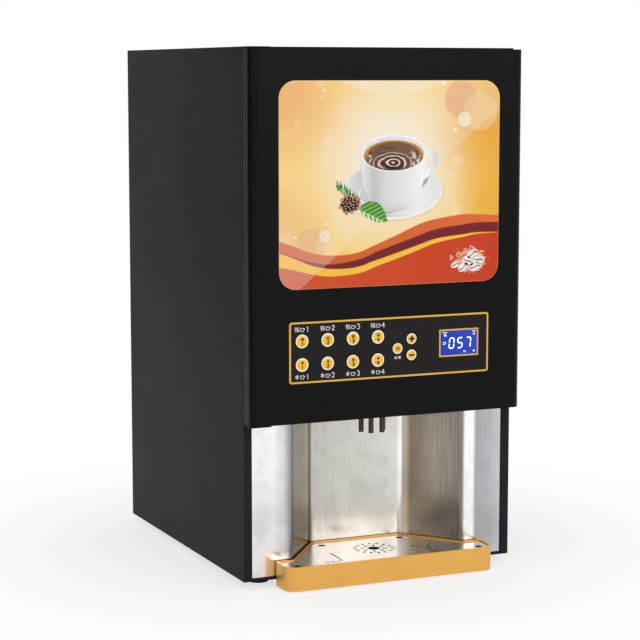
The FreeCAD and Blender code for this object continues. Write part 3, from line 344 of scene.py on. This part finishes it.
cream = distance(5, 20)
sheet = poster.mix(cream.step(20.0, 135.0), linear("fff2dc"), linear("ffd565"))
sheet = poster.mix(distance(-135, 100).step(100.0, 5.0) * 0.85, sheet, linear("f5a545"))
sheet = poster.mix(distance(140, 60).step(110.0, 10.0), sheet, linear("f2b046"))
sheet = poster.mix(distance(-140, -60).step(80.0, 10.0) * 0.7, sheet, linear("f4b25c"))
sheet = poster.mix(distance(137, -30).step(75.0, 5.0) * 0.8, sheet, linear("efae35"))
haze = poster.noise(22.0, 4.0).step(0.5, 0.8) * 0.3 + poster.cells(30.0, poster.place()).step(0.3, 0.12) * 0.3
sheet = poster.mix(haze, sheet, linear("fff3da"))
arch = distance(2, 240).step(142.0, 141.0) * 0.4
sheet = poster.mix(arch, sheet, linear("fdf1d4"))
for x, z, radius, colour, strength in (
        (87, 94, 20.5, "ecab70", 0.85), (112, 80, 22, "f8dca4", 0.4), (92, 71, 8.5, "fdf0dc", 0.7),
        (-98, -64, 17, "eeb472", 0.8), (-80, -70, 13, "f9dcae", 0.4), (-82.5, -57, 6.8, "fdf0dc", 0.65),
        (65.5, 112, 2.2, "ffffff", 0.8), (80, 59, 2.2, "ffffff", 0.7), (-118, -57, 1.8, "ffffff", 0.7),
        (-81, -43, 1.8, "ffffff", 0.7)):
    disc = distance(x, z)
    sheet = poster.mix(disc.step(radius + 0.4, radius - 0.4) * strength, sheet, linear(colour))
sparks = poster.cells(70.0)
sheet = poster.mix(sparks.step(0.12, 0.06) * down.step(0.15, 0.06), sheet, linear("ffffff"))
fine_sparks = poster.cells(150.0)
sheet = poster.mix(fine_sparks.step(0.13, 0.06) * down.step(0.11, 0.03) * 0.8, sheet, linear("ffffff"))


def wave(points):
    """Height of a wave's edge across the poster, from a few places along it."""
    stops = [(x, (y, y, y, 1.0)) for x, y in points]
    edge = poster.add("ShaderNodeValToRGB", {"stops": stops, "blending": "CARDINAL"}, 0, {0: across})
    return (down - edge).step(-0.003, 0.003)


WAVES = (
    (((0, 0.765), (0.1, 0.81), (0.24, 0.842), (0.4, 0.81), (0.6, 0.715), (0.8, 0.665), (1, 0.67)),
     "d9612a", "e2703a"),
    (((0, 0.82), (0.12, 0.865), (0.26, 0.882), (0.42, 0.837), (0.65, 0.75), (0.85, 0.71), (1, 0.705)),
     "7a2228", "7a2228"),
    (((0, 0.823), (0.12, 0.877), (0.25, 0.908), (0.4, 0.883), (0.65, 0.797), (0.85, 0.759), (1, 0.755)),
     "ffc545", "ffc545"),
    (((0, 0.89), (0.12, 0.923), (0.26, 0.943), (0.42, 0.908), (0.65, 0.82), (0.85, 0.771), (1, 0.757)),
     "d8562a", "cc3f1f"))
for places, left_colour, right_colour in WAVES:
    sheet = poster.mix(wave(places), sheet, poster.mix(across, linear(left_colour), linear(right_colour)))
# Painted reflection: a pale sheen lightens the poster above and left of a diagonal line.
painted_diagonal_reflection = (across * 0.95 + down).step(1.09, 1.08)
sheet = poster.mix(painted_diagonal_reflection * 0.16, sheet, linear("fffaf0"))
dx = abs(px - poster_mid.x) * 1000.0
dz = abs(pz - poster_mid.z) * 1000.0
corner_x = (dx - (poster_half.x / MM - 20.0)).higher(0.0)
corner_z = (dz - (poster_half.z / MM - 20.0)).higher(0.0)
margin = (corner_x * corner_x + corner_z * corner_z).root().step(19.4, 19.9)
sheet = poster.mix(margin * 0.6, sheet, linear("f6c98a"))
poster.set(Base_Color=sheet, Roughness=poster.noise(80.0) * 0.06 + 0.12)
poster.bump(poster.noise(50.0), 0.00002, 0.2)
poster.coat("poster_panel")


def printed(name, shapes, layer, finish, origin, body="door", y=None):
    """Flat printed shapes: closed outlines in millimetres from a middle point, a hair proud."""
    mesh = bmesh.new()
    face_y = (print_y if y is None else y) - layer * 0.00003
    for shape in shapes:
        corners = [mesh.verts.new((origin[0] + x * MM, face_y, origin[1] + z * MM)) for x, z in shape]
        mesh.faces.new(corners)
    bmesh.ops.recalc_face_normals(mesh, faces=mesh.faces)
    for face in mesh.faces:
        if face.normal.y > 0:
            face.normal_flip()
    bmesh.ops.triangulate(mesh, faces=mesh.faces)
    data = bpy.data.meshes.new(name)
    mesh.to_mesh(data)
    mesh.free()
    piece = bpy.data.objects.new(name, data)
    bpy.context.scene.collection.objects.link(piece)
    data.materials.append(finish.material)
    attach(piece, body)
    return piece


def oval(x, z, rx, rz, tilt=0.0, start=0.0, end=360.0, count=48):
    """Points round an ellipse, or along part of it."""
    full = end - start >= 359.9
    points = []
    for n in range(count if full else count + 1):
        a = math.radians(start + (end - start) * n / count)
        ex = rx * math.cos(a)
        ez = rz * math.sin(a)
        t = math.radians(tilt)
        points.append((x + ex * math.cos(t) - ez * math.sin(t), z + ex * math.sin(t) + ez * math.cos(t)))
    return points


def smooth_line(points, steps=10):
    """A curve through a few points."""
    run = []
    for i in range(len(points) - 1):
        p0 = Vector(points[max(i - 1, 0)])
        p1 = Vector(points[i])
        p2 = Vector(points[i + 1])
        p3 = Vector(points[min(i + 2, len(points) - 1)])
        for k in range(steps):
            t = k / steps
            run.append(tuple(0.5 * (2 * p1 + (p2 - p0) * t + (2 * p0 - 5 * p1 + 4 * p2 - p3) * t * t
                                    + (3 * p1 - p0 - 3 * p2 + p3) * t ** 3)))
    return run + [tuple(points[-1])]


def ink(name, first, second, scale=60.0, roughness=0.15):
    """Printing ink under the acrylic, its tone drifting a little."""
    colour = Finish(name, Specular_IOR_Level=0.12, Coat_Weight=0.1, Coat_Roughness=0.04)
    tone = colour.noise(scale, 4.0)
    colour.set(Base_Color=colour.mix(tone.step(0.35, 0.65), linear(first), linear(second)),
               Roughness=tone * 0.05 + roughness)
    return colour


centre = (poster_mid.x, poster_mid.z)


def shaded_ink(name, stops, middle, reach, fall, dark):
    """Drawn shading from side to side by stops, darkening downwards below a height."""
    colour = Finish(name, Specular_IOR_Level=0.12, Coat_Weight=0.1, Coat_Roughness=0.04)
    x, _, z = colour.axes()
    side = (x - middle) / reach * 0.5 + 0.5
    body = colour.add("ShaderNodeValToRGB", {"stops": [(p, linear(c)) for p, c in stops]}, 0, {0: side})
    low = ((z - poster_mid.z) * 1000.0).step(*fall)
    colour.set(Base_Color=colour.mix(low, body, linear(dark)), Roughness=side * 0.03 + 0.13)
    return colour


china = shaded_ink("cup_white", ((0, "f4f4f5"), (0.07, "e6e6e5"), (0.2, "c9cac6"), (0.42, "e4e4e2"), (0.75, "f3f3f2"),
                                 (1, "ffffff")), poster_mid.x + 0.002, 0.041, (-16.0, -36.0), "d4d2cc")
handle_white = shaded_ink("handle_white", ((0, "f3f3f3"), (0.45, "ffffff"), (0.8, "dcdde2"), (1, "f6f6f8")),
                          poster_mid.x + 0.047, 0.016, (6.0, -4.0), "e9e9ea")
dish = shaded_ink("saucer_white", ((0, "f6f6f8"), (0.1, "dddde1"), (0.3, "c9c9c9"), (0.5, "e2e1de"), (0.75, "f6f6f5"),
                                   (1, "e9e9ea")), poster_mid.x + 0.002, 0.062, (-34.0, -60.0), "ffffff")
printed("saucer_shadow", [oval(4, -11, 64, 32.5)], 1, ink("soft_shade", "f0dcae", "f4e4ba", 40), centre)
printed("saucer", [oval(2, -8, 62, 32.5)], 2, ink("saucer_edge", "fbfbfc", "ffffff"), centre)
printed("saucer_slope", [oval(2, -7.2, 60.6, 31)], 3, dish, centre)
printed("saucer_ring", [oval(4, -12, 45, 22.5)], 4, ink("saucer_ring", "f4f4f4", "fbfbfb"), centre)
printed("saucer_floor", [oval(4, -11.4, 43.6, 21.6)], 5, dish, centre)
printed("cup_shade", [oval(-6, -24, 25, 10.5, 8)], 6, ink("cup_shadow", "b3b0a4", "c2bfb5", 30), centre)
printed("handle_shade", [[(35, -4), (38.5, 2), (47, 7), (44.5, 0), (37, -6)]], 6,
        ink("handle_shadow", "b5b8b2", "a9aca6"), centre)
handle = (smooth_line([(36, 32), (47, 38), (55, 37), (59.5, 30), (57, 20), (49, 10), (40, 4), (31, 1)])
          + smooth_line([(32, 9), (40, 12), (47, 18), (52, 25), (52.5, 31), (48, 32.5), (40, 27)]))
printed("cup_handle", [handle], 7, handle_white, centre)
cup_side = smooth_line([(-39, 34), (-38.5, 20), (-36.5, 3), (-33, -9), (-27, -18), (-19, -24.5), (-13, -28)])
cup_floor = oval(2.0, -28, 15.0, 4.0, 0, 180, 360, 16)
cup_far = smooth_line([(17, -28), (23, -24.5), (31, -17), (36.5, -7), (40.5, 4), (42.6, 20), (43.2, 34)])
printed("cup_body", [cup_side + cup_floor[1:-1] + cup_far], 8, china, centre)
printed("cup_rim", [oval(2.1, 34.2, 41.2, 21)], 9, ink("rim_white", "ffffff", "fbfbfc"), centre)
printed("cup_inside", [oval(2.3, 33.6, 39.4, 19.2)], 10, ink("inside_shade", "e3e3ea", "f2f2f6"), centre)

brew = Finish("coffee_print", Specular_IOR_Level=0.12, Coat_Weight=0.1, Coat_Roughness=0.04)
bx, _, bz = brew.axes()
bx = (bx - (poster_mid.x + 0.0025)) * 1000.0
bz = (bz - (poster_mid.z + 0.0315)) * 1000.0
edge_reach = ((bx / 37.5) * (bx / 37.5) + (bz / 17.2) * (bz / 17.2)).root()
wx = bx + 1.5
wz = (bz + 8.0) * 2.1
ring_reach = (wx * wx + wz * wz).root()
wobble = brew.noise(45.0, 3.0)
rings = (ring_reach * 0.85 + wobble * 12.0).sine()
streak = brew.noise(1.0, 4.0, 0.6, brew.stretched(60.0, 60.0, 320.0))
brown = brew.mix(ring_reach.step(3.0, 34.0), linear("6a4638"), linear("7b5a4a"))
brown = brew.mix(streak.step(0.45, 0.65) * 0.6, brown, linear("3a2420"))
brown = brew.mix(rings.step(0.35, 0.9) * ring_reach.step(32.0, 14.0), brown, linear("f4dccb"))
brown = brew.mix((rings * -1.0).step(0.5, 0.95) * ring_reach.step(26.0, 8.0) * 0.8, brown, linear("2a1512"))
brown = brew.mix((bz + 12.0).step(1.5, -2.0) * abs(bx).step(18.0, 8.0) * 0.85, brown, linear("241310"))
froth = brew.noise(260.0, 3.0).step(0.48, 0.6) * (abs(bx + 2.0) - 20.0).step(0.0, 10.0) * (bz - 4.0).step(6.0, -4.0)
brown = brew.mix(froth, brown, linear("f8e6d8"))
brown = brew.mix(edge_reach.step(0.82, 0.97) * bz.step(-7.0, 3.0), brown, linear("dc9c34"))
brew.set(Base_Color=brown, Roughness=edge_reach * 0.02 + 0.12)
printed("cup_coffee", [oval(2.5, 31.5, 37.4, 17.1)], 11, brew, centre)

# Printed spices at the foot of the cup: a leaf with its veins, a sprig of needles and a cluster of nuts.
GOLDEN_TURN = 2.39996
leaf_green = Finish("leaf_print", Specular_IOR_Level=0.12, Coat_Weight=0.1, Coat_Roughness=0.04)
lx, _, lz = leaf_green.axes()
lx = (lx - poster_mid.x) * 1000.0 + 23.0
lz = (lz - poster_mid.z) * 1000.0 + 36.5
spine = lx * 0.42 + lz * 0.91
along_leaf = lx * 0.91 - lz * 0.42
veins = ((along_leaf + abs(spine) * -0.9) * 1.05).sine()
upper = leaf_green.mix(veins.step(0.0, 0.8), linear("7cba3c"), linear("1f6a58"))
lower = leaf_green.mix(veins.step(-0.2, 0.6), linear("dff0cc"), linear("3f9440"))
blade = leaf_green.mix(spine.step(-0.4, 0.4), lower, upper)
blade = leaf_green.mix(abs(spine).step(0.75, 0.35), blade, linear("b9d97e"))
leaf_green.set(Base_Color=blade, Roughness=veins * 0.01 + 0.15)
leaf = smooth_line([(-42, -28.5), (-35, -22), (-25, -19.5), (-16, -22), (-9, -31), (-5, -42.5)], 6)[:-1]
leaf += smooth_line([(-5, -42.5), (-12, -43.5), (-20, -42.5), (-30, -37.5), (-42, -28.5)], 6)[:-1]
printed("leaf", [leaf], 12, leaf_green, centre)
sprig = []
for n in range(34):
    along = (n % 17) / 16
    x = -67 + 22 * along + (n * 7 % 5) * 0.4
    z = -5 - 15 * along + (n // 17) * 3.2
    lean = 118 - 60 * along + (n * 37 % 50) - 25
    reach = 5.2 - 1.4 * along
    sprig.append(oval(x + reach * 0.5 * math.cos(math.radians(lean)), z + reach * 0.5 * math.sin(math.radians(lean)),
                      reach, 0.62, lean, count=10))
greens = [ink("sprig_" + n, a, b, 300) for n, a, b in (("green", "2f8f3c", "58ad3f"), ("blue", "1d6b52", "35606a"),
                                                       ("pale", "78c24a", "a6d77a"))]
for n, green in enumerate(greens):
    printed("sprig_%d" % (n + 1), sprig[n::3], 10 + n, green, centre)
petals = []
gaps = []
lights = []
for n in range(30):
    a = n * GOLDEN_TURN
    r = math.sqrt(n / 29)
    x = -52.0 + 12.0 * r * math.cos(a)
    z = -22.0 + 9.2 * r * math.sin(a)
    petals.append(oval(x, z, 3.4, 2.2, math.degrees(a) + 20, count=10))
    if r < 0.85:
        gaps.append(oval(x, z, 1.9, 1.25, math.degrees(a) * 1.7, count=8))
        lights.append(oval(x + 1.2, z + 1.0, 1.2, 0.6, math.degrees(a), count=8))
printed("nuts", petals, 13, ink("nut_brown", "a9695a", "e0a88c", 500), centre)
printed("nut_gaps", gaps, 14, ink("nut_gap", "1e1218", "33202a", 500), centre)
printed("nut_lights", lights, 15, ink("nut_light", "f0d2c2", "d9a690", 500), centre)

# Coffee beans in the lower corner, with drops thrown up round them.
beans = []
seams = []
for x, z, size, tilt in ((104, -83, 7.6, 25), (98, -91, 7.8, -30), (112, -90, 7.6, -12), (92, -98, 7.2, 30),
                         (107, -98, 8.0, 8), (81, -95, 5.4, 12)):
    beans.append(oval(x, z, size, size * 0.62, tilt, count=24))
    t = math.radians(tilt)
    seam = []
    for k in range(-5, 6):
        s = k / 5 * size * 0.86
        bow = math.sin(k / 5 * math.pi) * size * 0.12
        seam.append((x + s * math.cos(t) - bow * math.sin(t), z + s * math.sin(t) + bow * math.cos(t)))
    seams.append([(a, b + 0.6) for a, b in seam] + [(a, b - 0.6) for a, b in seam[::-1]])
splash = []
for n in range(96):
    a = 2 * math.pi * n / 96
    r = 1.0 if n % 2 else 1.12 + 0.3 * ((n * 29) % 17) / 17
    splash.append((101 + 16.5 * r * math.cos(a), -91 + 12.0 * r * math.sin(a)))
printed("splash", [splash], 1, ink("splash_cream", "f3cdb4", "d8714a", 260), centre)
printed("beans", beans, 2, ink("bean_cream", "fffdfa", "efe2d6", 90), centre)
printed("bean_seams", seams, 3, ink("bean_seam", "8a3a20", "6e2a18", 200), centre)
drops = []
for n in range(26):
    a = n * GOLDEN_TURN
    r = 13 + 11 * ((n * 37) % 26) / 26
    size = 0.45 + 0.9 * ((n * 17) % 7) / 7
    drops.append(oval(99 + r * math.cos(a) * 1.15, -88 + r * 0.75 * abs(math.sin(a)) - 3, size, size, count=8))
printed("drops", drops, 2, ink("drop_cream", "f7e3cf", "f0d2b4", 100), centre)

# ---- Key fascia ----
# Thin polycarbonate label stuck to the door, black with a gold line round its edge; every key
# looks through a hole with a black ring, and the signs beside the keys are printed in white.
low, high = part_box("key_fascia")
fascia_y = low.y
fascia_mid = (low + high) / 2
fascia_half = (high - low) / 2
film = Finish("fascia_film", Specular_IOR_Level=0.08)
fx, _, fz = film.axes()
edge = ((abs(fx - fascia_mid.x) - fascia_half.x).higher(abs(fz - fascia_mid.z) - fascia_half.z)) * 1000.0
line = edge.step(-2.1, -1.9)
cloud = film.noise(20.0)
film.set(Base_Color=film.mix(line, film.mix(cloud, linear("211d1e"), linear("262223")),
                             film.mix(cloud, linear("dfa93c"), linear("f3c860"))),
         Roughness=cloud * 0.1 + 0.32)
film.bump(film.noise(600.0), 0.00002, 0.3)
film.coat("key_fascia")


def ribbon(points, width):
    """Outline of a line drawn with a pen of some width."""
    left = []
    right = []
    for i, point in enumerate(points):
        before = Vector(points[max(i - 1, 0)])
        after = Vector(points[min(i + 1, len(points) - 1)])
        way = (after - before).normalized()
        out = Vector((-way.y, way.x)) * width / 2
        left.append(tuple(Vector(point) + out))
        right.append(tuple(Vector(point) - out))
    return left + right[::-1]


def sign(strokes, x, z, size, width):
    """Pen strokes of a sign, drawn one unit high, set at a place."""
    return [ribbon([(x + a * size, z + b * size) for a, b in stroke], width) for stroke in strokes]


FIGURES = {
    1: [[(-0.16, 0.3), (0.03, 0.46)], [(0.03, 0.5), (0.03, -0.5)]],
    2: [smooth_line([(-0.26, 0.26), (-0.14, 0.45), (0.1, 0.48), (0.26, 0.28), (0.2, 0.04), (-0.28, -0.46)], 4),
        [(-0.3, -0.45), (0.3, -0.45)]],
    3: [smooth_line([(-0.25, 0.36), (0.0, 0.5), (0.24, 0.3), (0.14, 0.08), (-0.06, 0.03)], 4),
        smooth_line([(-0.06, 0.03), (0.2, -0.05), (0.27, -0.27), (0.05, -0.48), (-0.26, -0.38)], 4)],
    4: [[(0.12, -0.5), (0.12, 0.5)], [(0.12, 0.46), (-0.3, -0.16)], [(-0.34, -0.18), (0.34, -0.18)]],
}
STEAM = [smooth_line([(x, -0.45), (x + 0.12, -0.2), (x - 0.1, 0.12), (x + 0.05, 0.45)], 4) for x in (-0.34, 0, 0.34)]
FROST = [[(-0.45 * math.cos(a), -0.45 * math.sin(a)), (0.45 * math.cos(a), 0.45 * math.sin(a))]
         for a in (math.radians(30), math.radians(90), math.radians(150))]
CUP = [[(-0.4, 0.2), (-0.3, -0.4), (0.2, -0.4), (0.3, 0.2), (-0.4, 0.2)], [(0.3, 0.1), (0.48, 0.0), (0.25, -0.2)]]
BARS = [[(-0.4, h), (0.4, h)] for h in (0.3, 0.0, -0.3)]
SIGN_PEN = 0.7

# ---- Keys ----
# Eleven push keys: a domed yellow cap in a cream ring, moulded in two colours. A black ring
# on the fascia shows round each, and the cap carries its figure in dark ink.
cap_yellow = moulded("key_yellow", "f5b424", "ffcf4a", 0.22, 0.25)
cap_cream = moulded("key_cream", "fbf3d8", "fffbec", 0.22, 0.25)
well_black = ink("ring_black", "060506", "0a090a", 80, 0.4)
white_ink = ink("white_ink", "f2f2ee", "fbfbf8", 200, 0.35)
dark_ink = ink("dark_ink", "2e1a08", "3a240c", 200, 0.35)
CAP_PROFILE = ((0.0, 0.62), (0.3, 0.58), (0.58, 0.42), (0.76, 0.14), (0.80, 0.0), (0.84, -0.02), (0.9, 0.12),
               (0.96, 0.02), (1.0, -0.25), (1.0, -3.8), (1.14, -3.8), (1.14, -4.6), (0.3, -4.6), (0.26, -5.4),
               (0.0, -5.4))
CREAM_FROM = 4
CREAM_TO = 9


def turned_cap(name, node, body):
    """The key cap, turned to the real profile; heights are millimetres from the cap's front."""
    low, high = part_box(node)
    middle = (low + high) / 2
    radius = (high.x - low.x) / 2 - 1.2 * MM
    front = low.y + 0.65 * MM
    mesh = bmesh.new()
    rings = []
    count = 40
    for share, height in CAP_PROFILE:
        y = min(front - height * MM, high.y)
        if share == 0:
            rings.append([mesh.verts.new((middle.x, y, middle.z))])
        else:
            rings.append([mesh.verts.new((middle.x + radius * share * math.cos(2 * math.pi * n / count), y,
                                          middle.z + radius * share * math.sin(2 * math.pi * n / count)))
                          for n in range(count)])
    for i in range(len(rings) - 1):
        inner = rings[i]
        outer = rings[i + 1]
        for n in range(count):
            m = (n + 1) % count
            if len(inner) == 1:
                face = mesh.faces.new((inner[0], outer[n], outer[m]))
            elif len(outer) == 1:
                face = mesh.faces.new((inner[n], outer[0], inner[m]))
            else:
                face = mesh.faces.new((inner[n], outer[n], outer[m], inner[m]))
            face.material_index = 1 if CREAM_FROM <= i < CREAM_TO else 0
            face.smooth = True
    bmesh.ops.recalc_face_normals(mesh, faces=mesh.faces)
    data = bpy.data.meshes.new(name)
    mesh.to_mesh(data)
    mesh.free()
    cap = bpy.data.objects.new(name, data)
    bpy.context.scene.collection.objects.link(cap)
    data.materials.append(cap_yellow.material)
    data.materials.append(cap_cream.material)
    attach(cap, body)
    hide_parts(node)
    return middle, radius / MM, front - 0.66 * MM


key_signs = {"menu": (BARS, 5.0), "plus": ([[(-0.5, 0), (0.5, 0)], [(0, 0.5), (0, -0.5)]], 6.8),
             "minus": ([[(-0.5, 0), (0.5, 0)]], 6.8)}
wells = []
legends = []
for kind in ("hot", "cold"):
    for n in range(1, 5):
        node = "key_%s_%d" % (kind, n)
        middle, radius, top = turned_cap("cap_%s_%d" % (kind, n), node, "%s_%d_key" % (kind, n))
        side = 1 if kind == "hot" else -1
        mark = STEAM if kind == "hot" else FROST
        caption = sign(mark, 0, 2.3, 3.8, 0.8) + sign(FIGURES[n], 0, -2.6, 4.0, 1.0)
        printed("figure_%s_%d" % (kind, n), caption, 1, dark_ink, (middle.x, middle.z), "%s_%d_key" % (kind, n), top)
        wells.append(oval((middle.x - fascia_mid.x) / MM, (middle.z - fascia_mid.z) / MM, radius + 1.5, radius + 1.5))
        lx = (middle.x - fascia_mid.x) / MM
        lz = (middle.z - fascia_mid.z) / MM + side * 13.4
        legends += sign(mark, lx - 6.2, lz, 5.8, SIGN_PEN) + sign(CUP, lx + 0.4, lz, 6.0, SIGN_PEN)
        legends += sign(FIGURES[n], lx + 6.6, lz, 5.8, SIGN_PEN)
for kind, (strokes, size) in key_signs.items():
    middle, radius, top = turned_cap("cap_" + kind, "key_" + kind, kind + "_key")
    printed("figure_" + kind, sign(strokes, 0, 0, size, 1.9 if kind != "menu" else 0.8), 1,
            dark_ink if kind == "menu" else well_black, (middle.x, middle.z), kind + "_key", top)
    lx = (middle.x - fascia_mid.x) / MM
    lz = (middle.z - fascia_mid.z) / MM
    wells.append(oval(lx, lz, radius + 1.4, radius + 1.4))
    if kind == "menu":
        legends += sign(CUP, lx - 2.2, lz - 10.2, 3.8, SIGN_PEN) + sign(BARS, lx + 2.6, lz - 10.2, 3.8, SIGN_PEN)
fascia_middle = (fascia_mid.x, fascia_mid.z)
printed("key_wells", wells, 1, well_black, fascia_middle, "door", fascia_y)
printed("key_legends", legends, 1, white_ink, fascia_middle, "door", fascia_y)

# ---- Display ----
# Blue liquid-crystal glass in a gold printed frame, showing three seven-bar figures
# and small signs; the glass sits just under the fascia's face.
low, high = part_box("display_module")
glass_mid = (low + high) / 2
window = (25.5, 16.0)
lcd = Finish("display_glass", Specular_IOR_Level=0.12, Coat_Weight=0.1, Coat_Roughness=0.1, Emission_Strength=0.12)
gx, _, gz = lcd.axes()
gx = (gx - glass_mid.x) * 1000.0
gz = (gz - glass_mid.z) * 1000.0
rim = (abs(gx) - window[0]).higher(abs(gz) - window[1])
blue = lcd.mix(gx.step(-26.0, 26.0), linear("2335a6"), linear("2d42bd"))
blue = lcd.mix(lcd.noise(900.0).step(0.3, 0.7) * 0.25, blue, linear("3a55d8"))
frame_line = rim.step(-1.9, -1.7)
behind = rim.step(0.4, 0.6)
glow = lcd.mix(frame_line, blue, linear("000000"))
face = lcd.mix(frame_line, blue, linear("e9b94d"))
lcd.set(Base_Color=lcd.mix(behind, face, linear("14402a")), Emission_Color=glow, Roughness=gx * 0.0005 + 0.2)
lcd.coat("display_module")
segment_ink = Finish("lit_segments", Emission_Strength=0.8, Specular_IOR_Level=0.3)
tone = segment_ink.noise(400.0)
bright = segment_ink.mix(tone, linear("d4f0f4"), linear("effdff"))
segment_ink.set(Base_Color=bright, Emission_Color=bright, Roughness=tone * 0.1 + 0.3)
BARS_OF = {"0": "abcdef", "5": "acdfg", "7": "abc"}
BAR_ENDS = {"a": ((0, 1), (1, 1)), "b": ((1, 1), (1, 0.5)), "c": ((1, 0.5), (1, 0)), "d": ((0, 0), (1, 0)),
            "e": ((0, 0.5), (0, 0)), "f": ((0, 1), (0, 0.5)), "g": ((0, 0.5), (1, 0.5))}
bars = []
for place, figure in enumerate("057"):
    for letter in BARS_OF[figure]:
        ends = []
        for a, b in BAR_ENDS[letter]:
            ends.append((-12.8 + place * 10.8 + a * 5.8 + b * 1.1, -6.2 + b * 11.6))
        start, end = Vector(ends[0]), Vector(ends[1])
        gap = (end - start).normalized() * 0.75
        way = (end - start).normalized()
        side = Vector((-way.y, way.x)) * 0.75
        a, b = start + gap * 0.4, end - gap * 0.4
        bars.append([tuple(p) for p in (a, a + gap + side, b - gap + side, b, b - gap - side, a + gap - side)])
bars += sign(CUP, -18.6, 0.2, 4.4, 0.55) + sign(STEAM, -17.8, 9.2, 3.4, 0.5)
bars += [ribbon([(-21.5, 12.3), (-15.2, 12.3)], 0.6), ribbon([(17.2, 12.3), (22.0, 12.3)], 0.6)]
bars += sign(CUP, 19.6, 9.4, 2.8, 0.45) + sign(CUP, 7.5, -10.6, 2.8, 0.45) + sign(FROST, 19.6, -10.6, 3.0, 0.45)
glass_y = fascia_y + 0.4 * MM
printed("display_figures", bars, 2, segment_ink, (glass_mid.x, glass_mid.z), "door", glass_y)

# ---- The room: floor, lamps, dark card and camera ----
# A plain white floor that keeps the machine's shadow, soft lamps and a pale world.


def seen_rays(tree):
    """1 for rays that look, reflect or pass through glass, 0 for rays that only carry light."""
    path = tree.nodes.new("ShaderNodeLightPath")
    total = path.outputs["Is Camera Ray"]
    for kind in ("Is Glossy Ray", "Is Transmission Ray"):
        either = tree.nodes.new("ShaderNodeMath")
        either.operation = "MAXIMUM"
        tree.links.new(total, either.inputs[0])
        tree.links.new(path.outputs[kind], either.inputs[1])
        total = either.outputs[0]
    return total


world = bpy.data.worlds.new("room")
bpy.context.scene.world = world
world.use_nodes = True
sky = world.node_tree.nodes["Background"]
bright_sky = world.node_tree.nodes.new("ShaderNodeBackground")
sky.inputs["Color"].default_value = (1, 1, 1, 1)
sky.inputs["Strength"].default_value = 0.55
bright_sky.inputs["Color"].default_value = (1, 1, 1, 1)
bright_sky.inputs["Strength"].default_value = 1.0
chooser = world.node_tree.nodes.new("ShaderNodeMixShader")
output = world.node_tree.nodes["World Output"]
world.node_tree.links.new(seen_rays(world.node_tree), chooser.inputs[0])
world.node_tree.links.new(sky.outputs[0], chooser.inputs[1])
world.node_tree.links.new(bright_sky.outputs[0], chooser.inputs[2])
world.node_tree.links.new(chooser.outputs[0], output.inputs["Surface"])

bpy.ops.mesh.primitive_circle_add(vertices=96, radius=9.0, fill_type="NGON", location=(0, 0, -0.0005))
floor = bpy.context.object
floor.name = "floor"
ground = Finish("floor_white", Specular_IOR_Level=0.1)
grain = ground.noise(30.0)
ground.set(Base_Color=ground.mix(grain, linear("f4f4f4"), linear("f8f8f8")), Roughness=grain * 0.1 + 0.8)
tree = ground.tree
paper = tree.nodes.new("ShaderNodeEmission")
paper.inputs["Color"].default_value = (1, 1, 1, 1)
blank = tree.nodes.new("ShaderNodeMixShader")
fx, fy, _ = ground.axes()
from_machine = (fx * fx + fy * fy).root()
whiteness = from_machine.step(0.2, 0.62) * 0.3 + 0.7
tree.links.new((whiteness * Signal(ground, seen_rays(tree))).socket, blank.inputs[0])
tree.links.new(ground.shader.outputs[0], blank.inputs[1])
tree.links.new(paper.outputs[0], blank.inputs[2])
tree.links.new(blank.outputs[0], tree.nodes["Material Output"].inputs["Surface"])
floor.data.materials.append(ground.material)


def lamp(name, place, aim, size, power):
    data = bpy.data.lights.new(name, "AREA")
    data.shape = "RECTANGLE"
    data.size, data.size_y = size
    data.energy = power
    thing = bpy.data.objects.new(name, data)
    thing.location = place
    thing.rotation_euler = (Vector(aim) - Vector(place)).to_track_quat("-Z", "Y").to_euler()
    bpy.context.scene.collection.objects.link(thing)


MIDDLE = (0, 0, 0.3)
lamp("front_softbox", (0.9, -3.0, 1.6), MIDDLE, (1.6, 1.6), 26)
lamp("left_softbox", (-2.6, -0.9, 1.5), MIDDLE, (0.5, 1.6), 7)
lamp("top_softbox", (0, 0.2, 2.8), MIDDLE, (2.0, 2.0), 20)

# A dark card at the left, seen only in reflections, keeps the black paint black.
bpy.ops.mesh.primitive_grid_add(x_subdivisions=2, y_subdivisions=2, size=2.0, location=(-1.5, 1.1, 0.9),
                                rotation=(0, math.pi / 2, 0))
flag = bpy.context.object
flag.name = "dark_card"
flag.scale = (1.0, 1.7, 1.0)
felt = Finish("card_felt", Specular_IOR_Level=0.0)
nap = felt.noise(50.0)
felt.set(Base_Color=felt.mix(nap, linear("1c1a18"), linear("221f1d")), Roughness=nap * 0.1 + 0.9)
flag.data.materials.append(felt.material)
flag.visible_camera = False
flag.visible_diffuse = False
flag.visible_shadow = False

camera_data = bpy.data.cameras.new("camera")
camera_data.lens = 110.5
camera_data.sensor_width = 36.0
camera = bpy.data.objects.new("camera", camera_data)
CAMERA_PLACE = Vector((-0.9756, -2.1933, 0.5764))
CAMERA_AIM = Vector((-0.0091, -0.032, 0.2818))
camera.location = CAMERA_PLACE
camera.rotation_euler = (CAMERA_AIM - CAMERA_PLACE).to_track_quat("-Z", "Y").to_euler()
bpy.context.scene.collection.objects.link(camera)
bpy.context.scene.camera = camera
bpy.context.scene.view_settings.view_transform = "Standard"
